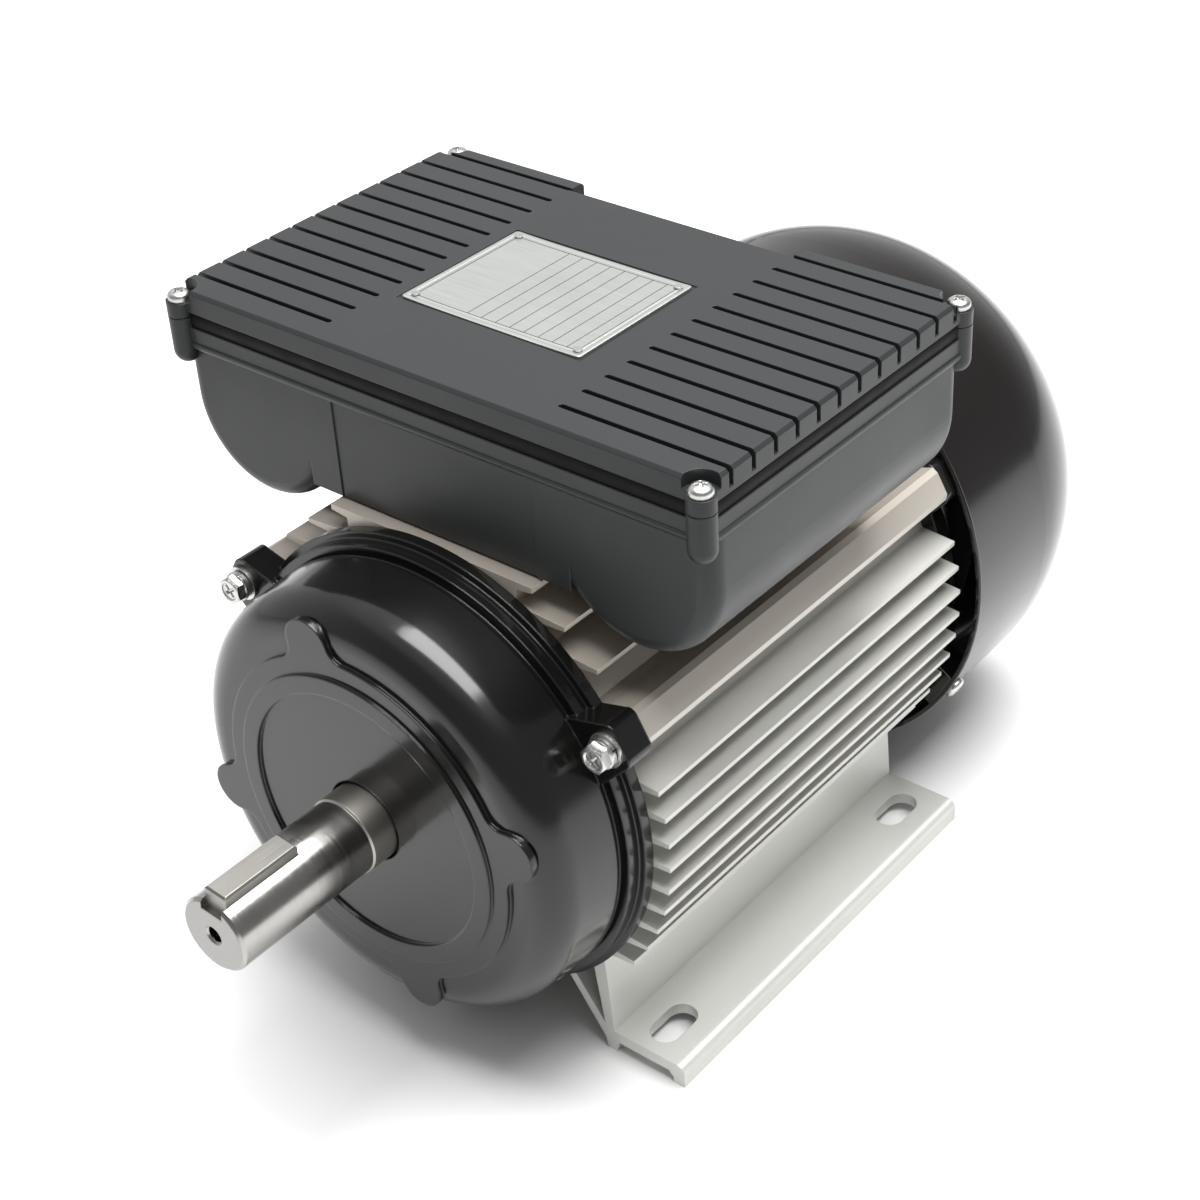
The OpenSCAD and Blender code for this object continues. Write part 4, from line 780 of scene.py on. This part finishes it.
@dataclass(frozen=True)
class LockWasher:
    """Split spring washer, lying on height 0, whose two ends stand a little apart.

    Attributes:
        inner: Inner radius, mm.
        outer: Outer radius, mm.
        thick: Thickness, mm.
        rise: How much higher one end stands, mm.
        gap: Angle between the ends, degrees.
        eased: Share of the width and of the thickness that a rounded edge takes.
        steps: Sections along it.
    """

    inner: float
    outer: float
    thick: float
    rise: float
    gap: float = 8.0
    eased: float = 0.12
    steps: int = 90

    def build(self) -> Skin:
        """Carries an eight-sided section once round the axis, climbing evenly, and closes its ends.

        Returns:
            Points in mm and faces.
        """
        start = np.radians(self.gap / 2)
        angle = np.linspace(start, TURN - start, self.steps)[:, None]
        near, far = self.eased, 1 - self.eased
        wide = self.outer - self.inner
        across = np.array([near, far, 1, 1, far, near, 0, 0]) * wide + self.inner
        up = np.array([0, 0, near, far, 1, 1, far, near]) * self.thick
        lift = np.linspace(0, self.rise, self.steps)[:, None]
        grid = np.stack([across * np.cos(angle), across * np.sin(angle), up + lift], axis=-1)
        ends = [np.repeat(grid[i].mean(axis=0)[None, None], len(across), axis=1) for i in (0, -1)]
        return closed_skin(np.concatenate([ends[0], grid, ends[1]]))


@dataclass(frozen=True)
class Fasteners:
    """The screws that show: four on the lid, three tie bolts and three on the fan cover.

    Attributes:
        lid: Pan-head screw of the lid.
        lid_turns: Turn of its first cross, and steps of turn along x and along y, radians.
        tie: Tie bolt with a flanged hexagon head.
        tie_turns: Turn of the first bolt, and the step to the next, radians.
        tie_angles: Where the tie bolts stand about the shaft axis, degrees from +Y.
        tie_clear: How far the flange stays inside the CAD bolts' reach, mm.
        lock: Lock washer of a tie bolt.
        cover: Pan-head screw of the fan cover.
        cover_turns: Turn of the first screw, and the step to the next, radians.
        cover_shank: Length of the cover screws under the head, mm.
        cover_angles: Where the cover's screws stand, degrees from +Y.
    """

    lid: Screw = Screw(
        head_r=3.4, head_h=3.0, side_h=0.9, shank_r=1.7, cross_l=1.9, cross_w=0.9, cross_d=1.5)
    lid_turns: tuple[float, float, float] = (0.5, 1.1, 2.3)
    tie: Screw = Screw(
        head_r=4.0, head_h=4.0, side_h=4.0, shank_r=2.5, hexagon=True, flange_r=4.65, flange_t=1.0,
        cross_l=2.3, cross_w=1.05, cross_d=1.5, dish_r=3.1)
    tie_turns: tuple[float, float] = (0.35, 0.8)
    tie_angles: tuple[float, ...] = (30.0, 150.0, 270.0)
    tie_clear: float = 0.05
    lock: LockWasher = LockWasher(inner=2.55, outer=4.45, thick=1.15, rise=0.25)
    cover: Screw = Screw(
        head_r=3.8, head_h=2.4, side_h=0.6, shank_r=2.0, cross_l=2.1, cross_w=1.0, cross_d=1.3)
    cover_turns: tuple[float, float] = (0.2, 0.7)
    cover_shank: float = 12.0
    cover_angles: tuple[float, ...] = (90.0, 210.0, 330.0)

    def build(self) -> None:
        """Makes the three sets of screws in bright zinc."""
        self.lid_screws()
        self.tie_bolts()
        self.cover_screws()

    def lid_screws(self) -> None:
        """Stands one screw in each corner boss of the lid, each at its own turn."""
        low, high = box_mm("lid_screws")
        seat = high[2] - self.lid.head_h
        first, step_x, step_y = self.lid_turns
        inset = self.lid.head_r
        skins = []
        for k, x in enumerate((low[0] + inset, high[0] - inset)):
            for j, y in enumerate((low[1] + inset, high[1] - inset)):
                screw = self.lid.build(seat - low[2], first + step_x * k + step_y * j)
                skins.append(placed(screw, np.array([x, y, seat]), UP, ALONG))
        make_piece("lid_pan_screws", skins, Surface.ZINC, "frame", "lid_screws")

    def tie_bolts(self) -> None:
        """Stands the three bolts along the motor, heads and lock washers on the drive end."""
        low, high = box_mm("tie_bolts")
        seat = high[0] - self.tie.head_h
        under = seat - self.lock.thick - self.lock.rise
        reach = AXIS_Z - low[2] - self.tie.flange_r - self.tie_clear
        first, step = self.tie_turns
        skins = []
        for k, a in enumerate(np.radians(self.tie_angles)):
            side = np.array([0, np.cos(a), np.sin(a)])
            spot = np.array([0, 0, AXIS_Z]) + reach * side
            bolt = self.tie.build(seat - low[0], first + step * k)
            skins.append(placed(bolt, spot + seat * ALONG, ALONG, side))
            skins.append(placed(self.lock.build(), spot + under * ALONG, ALONG, side))
        make_piece("tie_hex_bolts", skins, Surface.ZINC, "frame", "tie_bolts")

    def cover_screws(self) -> None:
        """Stands the cover's screws outwards round its rim."""
        low, high = box_mm("fan_cover_screws")
        middle = np.array([(low[0] + high[0]) / 2, 0, AXIS_Z])
        reach = high[2] - AXIS_Z - self.cover.head_h
        first, step = self.cover_turns
        skins = []
        for k, a in enumerate(np.radians(self.cover_angles)):
            out = np.array([0, np.cos(a), np.sin(a)])
            screw = self.cover.build(self.cover_shank, first + step * k)
            skins.append(placed(screw, middle + reach * out, out, ALONG))
        make_piece(
            "cover_pan_screws", skins, Surface.ZINC, "frame", "fan_cover_screws")


# ----- Nameplate -----


@dataclass(frozen=True)
class Nameplate:
    """Blank rating plate: a thin sheet with soft corners, a pressed frame and lifted ends.

    Attributes:
        corner: Radius of its corners, mm.
        least_corner: The smallest radius that an inset outline keeps, mm.
        corner_points: Points of each corner's arc.
        side_points: Points of each straight side between two arcs.
        eased: Rounding of the upper and lower edge, mm.
        frame_in: Distance of the pressed line from the edge, mm.
        frame_w: Width of that line, mm.
        frame_d: Its depth, mm.
        frame_slope: Width of its sloping sides, mm.
        field_in: Distances from the edge of the two rings inside the line, mm.
        field_rings: Rings from the middle to the innermost of those.
        lift: How far the short ends curl up, mm.
        lift_power: Power of the distance from the middle that the curl follows.
        back_from: Depth below which the sheet counts as its flat back, mm.
    """

    corner: float = 1.2
    least_corner: float = 0.05
    corner_points: int = 12
    side_points: int = 20
    eased: float = 0.12
    frame_in: float = 1.6
    frame_w: float = 0.5
    frame_d: float = 0.09
    frame_slope: float = 0.1
    field_in: tuple[float, float] = (3.4, 4.6)
    field_rings: int = 13
    lift: float = 0.35
    lift_power: int = 4
    back_from: float = 0.3

    def outline(self, half: np.ndarray, inset: float) -> np.ndarray:
        """Gives a rounded rectangle, inset from the plate's edge.

        Each corner is an arc about its own centre, and the sides are straight rows of points
        between the arcs.

        Args:
            half: Half length and half width of the plate, mm.
            inset: How far inside the edge it runs, mm.

        Returns:
            Points of shape (count, 2), counterclockwise.
        """
        r = max(self.corner - inset, self.least_corner)
        core = half - inset - r
        quarter = np.linspace(0, np.pi / 2, self.corner_points)
        corners = []
        for k, signs in enumerate(((1, 1), (-1, 1), (-1, -1), (1, -1))):
            a = quarter + k * np.pi / 2
            corners.append(core * signs + r * np.stack([np.cos(a), np.sin(a)], axis=-1))
        share = np.linspace(0, 1, self.side_points + 2)[1:-1, None]
        loop = []
        for arc, follow in zip(corners, corners[1:] + corners[:1]):
            loop += [arc, arc[-1] * (1 - share) + follow[0] * share]
        return np.vstack(loop)

    def build(self) -> None:
        """Makes the plate.

        Rings of the outline run from the middle to the edge, down it and back below. The height
        falls by frame_d inside the frame's line, and rises with a power of the distance from the
        middle, to lift at the ends.
        """
        low, high = box_mm("nameplate")
        half, middle = (high[:2] - low[:2]) / 2, (high[:2] + low[:2]) / 2
        thick = high[2] - low[2]
        line_end = self.frame_in + self.frame_w
        # Distance from the edge, and depth below the face, of each ring of the upper side
        face = (
            (0.0, self.eased),
            (self.eased, 0.0),
            (self.frame_in, 0.0),
            (self.frame_in + self.frame_slope, self.frame_d),
            (line_end - self.frame_slope, self.frame_d),
            (line_end, 0.0),
            (self.field_in[0], 0.0),
            (self.field_in[1], 0.0),
        )
        rings = [self.outline(half, inset) for inset, _ in face]
        field = [rings[-1] * s for s in np.linspace(0, 1, self.field_rings + 1)[:-1]]
        flat = np.stack(field + rings[::-1] + [rings[0], rings[1], rings[1] * 0])
        depths = [0.0] * len(field) + [depth for _, depth in face[::-1]]
        fall = np.array(depths + [thick - self.eased, thick, thick])[:, None]
        curl = self.lift * np.abs(flat[..., 1] / half[1]) ** self.lift_power
        curl = np.where(fall > self.back_from, 0.0, curl)
        height = high[2] - self.lift - fall * (1 - self.lift / thick) + curl
        grid = np.concatenate([flat + middle, height[..., None]], axis=-1)
        make_piece(
            "rating_plate", [closed_skin(grid)], Surface.PLATE, "frame",
            "nameplate", crease=50)


# ----- Trim of the box -----


@dataclass(frozen=True)
class BoxTrim:
    """The seal under the lid, and the bead along the foot of the box's flange.

    Attributes:
        seal_set: How far the CAD seal lies inside the flange's face, mm.
        notch_depth: Depth of the notch in the box's rear side, mm.
        notch_half: Half its width, mm.
        corner: Radius of the plan's corners, mm.
        notch_corner: Radius of the corners at the notch, mm.
        bend_points: Points of each corner's curve.
        flange_h: Height of the box's flange, mm.
        seal_in: How far the seal's lip lies inside the flange's face, mm.
        seal_w: How far the seal reaches inwards from that face, mm.
        lip_up: How far the lip stands up over the lid's edge, mm.
        lip_back: Distance of the lip's inner side from the flange's face, mm.
        lip_eased: Size of the cut corners of the lip, mm.
        lip_bulge: How far the middle of the lip bulges outwards, mm.
        bead: Section of the bead: outwards from the flange's face, and up from its foot, mm.
    """

    seal_set: float = 1.5
    notch_depth: float = 7.0
    notch_half: float = 42.0
    corner: float = 3.0
    notch_corner: float = 0.6
    bend_points: int = 7
    flange_h: float = 5.5
    seal_in: float = 0.45
    seal_w: float = 4.4
    lip_up: float = 1.2
    lip_back: float = 1.46
    lip_eased: float = 0.3
    lip_bulge: float = 0.12
    bead: tuple[tuple[float, float], ...] = (
        (-1.4, 0.6), (-0.05, 0.9), (0.385, 0.75), (0.55, 0.4), (0.55, -0.5), (0.275, -1.2),
        (-1.4, -2.2))

    def path(self) -> tuple[np.ndarray, np.ndarray]:
        """Gives the plan's outline and its outward direction.

        Each corner is a quarter curve between its two tangent points with the corner as its
        control, and straight lines join the corners. The outward direction is the tangent turned
        a quarter clockwise.

        Returns:
            Points and unit directions, each of shape (count, 2), counterclockwise.
        """
        low, high = box_mm("lid_seal")
        x0, x1, half = low[0] - self.seal_set, high[0] + self.seal_set, high[1] + self.seal_set
        notch, wide = x0 + self.notch_depth, self.notch_half
        corners = np.array([
            (x1, -half), (x1, half), (x0, half), (x0, wide), (notch, wide), (notch, -wide),
            (x0, -wide), (x0, -half)])
        radii = np.array([self.corner] * 3 + [self.notch_corner] * 4 + [self.corner])[:, None]
        before = np.roll(corners, 1, axis=0) - corners
        after = np.roll(corners, -1, axis=0) - corners
        back = before / np.linalg.norm(before, axis=1, keepdims=True)
        forth = after / np.linalg.norm(after, axis=1, keepdims=True)
        t = np.linspace(0, 1, self.bend_points)[None, :, None]
        start, end = (corners + back * radii)[:, None], (corners + forth * radii)[:, None]
        bends = (1 - t) ** 2 * start + 2 * t * (1 - t) * corners[:, None] + t**2 * end
        loop = bends.reshape(-1, 2)
        along = np.roll(loop, -1, axis=0) - np.roll(loop, 1, axis=0)
        along /= np.linalg.norm(along, axis=1, keepdims=True)
        return loop, np.stack([along[:, 1], -along[:, 0]], axis=-1)

    def sweep(self, profile: np.ndarray) -> np.ndarray:
        """Carries a closed profile round the plan.

        Args:
            profile: Points (outwards from the plan's edge, height), mm.

        Returns:
            Grid of shape (profile points, path points, 3).
        """
        loop, out = self.path()
        flat = loop[None] + profile[:, :1, None] * out[None]
        height = np.broadcast_to(profile[:, 1, None, None], flat.shape[:2] + (1,))
        return np.concatenate([flat, height], axis=-1)

    def build(self) -> None:
        """Makes the seal with its lip over the lid's band, and the bead."""
        low, high = box_mm("lid_seal")
        foot, shelf, tip = low[2], high[2], high[2] + self.lip_up
        face, eased = -self.seal_in, self.lip_eased
        seal = np.array([
            (-self.seal_w, foot), (face - eased, foot), (face, foot + eased),
            (face + self.lip_bulge, (foot + tip) / 2), (face, tip - eased), (face - eased, tip),
            (-self.lip_back, tip), (-self.lip_back, shelf), (-self.seal_w, shelf)])
        make_piece(
            "lid_lip_seal", [ring_skin(self.sweep(seal))], Surface.RUBBER, "frame",
            "lid_seal", crease=50)
        bead = np.array(self.bead) + (0, foot - self.flange_h)
        make_piece(
            "box_flange_bead", [ring_skin(self.sweep(bead))], Surface.BOX_PLASTIC, "frame",
            "", crease=40)


# ----- Studio -----


@dataclass(frozen=True)
class Studio:
    """Pale floor, one large overhead softbox, a dim room and the camera.

    Attributes:
        box_centre: Centre of the softbox, m.
        box_size: Its length and width, m.
        box_power: Its power, W.
        floor_half: Half the floor's side, m.
        floor_shade_tones: sRGB floor colours near the light and far off, darker as painted shade.
        floor_shade_middle: The point that the painted shade on the floor darkens away from, m.
        floor_shade_fade: Distances from it where the painted shade begins and ends, m.
        room_side: Level direction in which the room is brightest.
        room_glow: Cosines of the lean to that side over which it brightens, and its strengths.
        halo_glow: Sines of the height over which the softbox's halo comes in, and its strengths.
        eye: Where the camera stands, mm.
        right, up, back: The camera's own axes.
        lens: Focal length, mm.
        sensor: Width of the sensor, mm.
        shift: Sideways shift of the frame, in sensor widths.
        clip: Nearest and farthest distance seen, m.
    """

    box_centre: tuple[float, float, float] = (-0.13, 0.22, 1.35)
    box_size: tuple[float, float] = (1.13, 1.03)
    box_power: float = 46.0
    floor_half: float = 3.0
    # Painted shade: the floor's colour darkens with distance from one point
    floor_shade_tones: tuple[str, str] = ("#dedede", "#b4b4b4")
    floor_shade_middle: tuple[float, float] = (-0.45, -0.40)
    floor_shade_fade: tuple[float, float] = (1.1, 1.9)
    room_side: tuple[float, float, float] = (-0.45, -0.89, 0.0)
    room_glow: tuple[float, float, float, float] = (-0.1, 0.9, 0.3, 0.85)
    halo_glow: tuple[float, float, float, float] = (0.6, 0.82, 0.0, 0.45)
    eye: tuple[float, float, float] = (447.602, 387.044, 509.181)
    right: tuple[float, float, float] = (-0.608508, 0.792859, -0.033056)
    up: tuple[float, float, float] = (-0.466633, -0.323819, 0.823040)
    back: tuple[float, float, float] = (0.641850, 0.516252, 0.567021)
    lens: float = 67.766
    sensor: float = 36.0
    shift: float = -0.0629
    clip: tuple[float, float] = (0.02, 20.0)

    def build(self) -> None:
        """Sets up floor, light, room and camera."""
        self.lay_floor()
        self.hang_softbox()
        self.paint_room()
        self.place_camera()
        bpy.context.scene.view_settings.view_transform = "Standard"

    def lay_floor(self) -> None:
        """Lays one large pale sheet under the feet, with painted shade far from the light."""
        h = self.floor_half
        mesh = bpy.data.meshes.new("floor")
        mesh.from_pydata([(-h, -h, 0), (h, -h, 0), (h, h, 0), (-h, h, 0)], [], [(0, 1, 2, 3)])
        floor = stand("floor", mesh)
        # Matt white paper with no mirror image: pale, darkened far off by painted shade
        material = bpy.data.materials.new("white_paper_painted_shade")
        tree = empty_tree(material)
        place = add_node(tree, "ShaderNodeTexCoord").outputs["Object"]
        middle_x, middle_y = self.floor_shade_middle
        about = add_node(
            tree, "ShaderNodeMapping", values={"Location": (-middle_x, -middle_y, 0)},
            links={"Vector": place})
        reach = add_node(
            tree, "ShaderNodeVectorMath", settings={"operation": "LENGTH"},
            links={0: about.outputs["Vector"]})
        fade = add_node(
            tree, "ShaderNodeMapRange", settings=SMOOTH,
            values={"From Min": self.floor_shade_fade[0], "From Max": self.floor_shade_fade[1]},
            links={"Value": reach.outputs["Value"]})
        # Painted shade: the far tone stands in for less light away from the motor
        near, far = self.floor_shade_tones
        tone = add_node(
            tree, "ShaderNodeMix", settings=RGBA,
            values={COLOUR_A: linear(near), COLOUR_B: linear(far)},
            links={FACTOR: fade.outputs["Result"]})
        shader = add_node(
            tree, "ShaderNodeBsdfPrincipled", values={"Roughness": 0.8},
            links={"Base Color": tone.outputs[COLOUR_OUT]})
        add_node(tree, "ShaderNodeOutputMaterial", links={"Surface": shader.outputs["BSDF"]})
        mesh.materials.append(material)

    def hang_softbox(self) -> None:
        """Hangs the softbox over the motor, a little towards +Y."""
        light = bpy.data.lights.new("softbox", "AREA")
        light.shape = "RECTANGLE"
        light.size, light.size_y = self.box_size
        light.energy = self.box_power
        stand("softbox", light).location = self.box_centre

    def paint_room(self) -> None:
        """Surrounds the scene by a dim room, brighter behind the motor and round the softbox."""
        world = bpy.data.worlds.new("room")
        bpy.context.scene.world = world
        tree = empty_tree(world)
        ray = add_node(tree, "ShaderNodeTexCoord").outputs["Generated"]
        side = add_node(
            tree, "ShaderNodeVectorMath", settings={"operation": "DOT_PRODUCT"},
            values={1: self.room_side}, links={0: ray})
        axes = add_node(tree, "ShaderNodeSeparateXYZ", links={"Vector": ray})
        leans = (side.outputs["Value"], axes.outputs["Z"])
        strength = add_node(tree, "ShaderNodeMath", settings={"operation": "ADD"})
        for k, (start, end, low, high) in enumerate((self.room_glow, self.halo_glow)):
            glow = add_node(
                tree, "ShaderNodeMapRange", settings=SMOOTH,
                values={"From Min": start, "From Max": end, "To Min": low, "To Max": high},
                links={"Value": leans[k]})
            tree.links.new(glow.outputs["Result"], strength.inputs[k])
        backdrop = add_node(
            tree, "ShaderNodeBackground", values={"Color": linear("#ffffff")},
            links={"Strength": strength.outputs["Value"]})
        add_node(tree, "ShaderNodeOutputWorld", links={"Surface": backdrop.outputs["Background"]})

    def place_camera(self) -> None:
        """Stands the camera high in front of the drive end, on the +Y side of the box."""
        data = bpy.data.cameras.new("camera")
        data.lens, data.sensor_width, data.shift_x = self.lens, self.sensor, self.shift
        data.clip_start, data.clip_end = self.clip
        camera = stand("camera", data)
        turned = Matrix((self.right, self.up, self.back)).transposed().to_4x4()
        camera.matrix_world = Matrix.Translation(Vector(self.eye) * MM) @ turned
        bpy.context.scene.camera = camera


def main() -> None:
    """Builds the motor and its studio."""
    logging.basicConfig(level=logging.INFO, format="%(name)s: %(message)s")
    dress_frame()
    Fasteners().build()
    Nameplate().build()
    BoxTrim().build()
    Studio().build()
    bpy.context.view_layer.update()


if __name__ == "__main__":
    main()
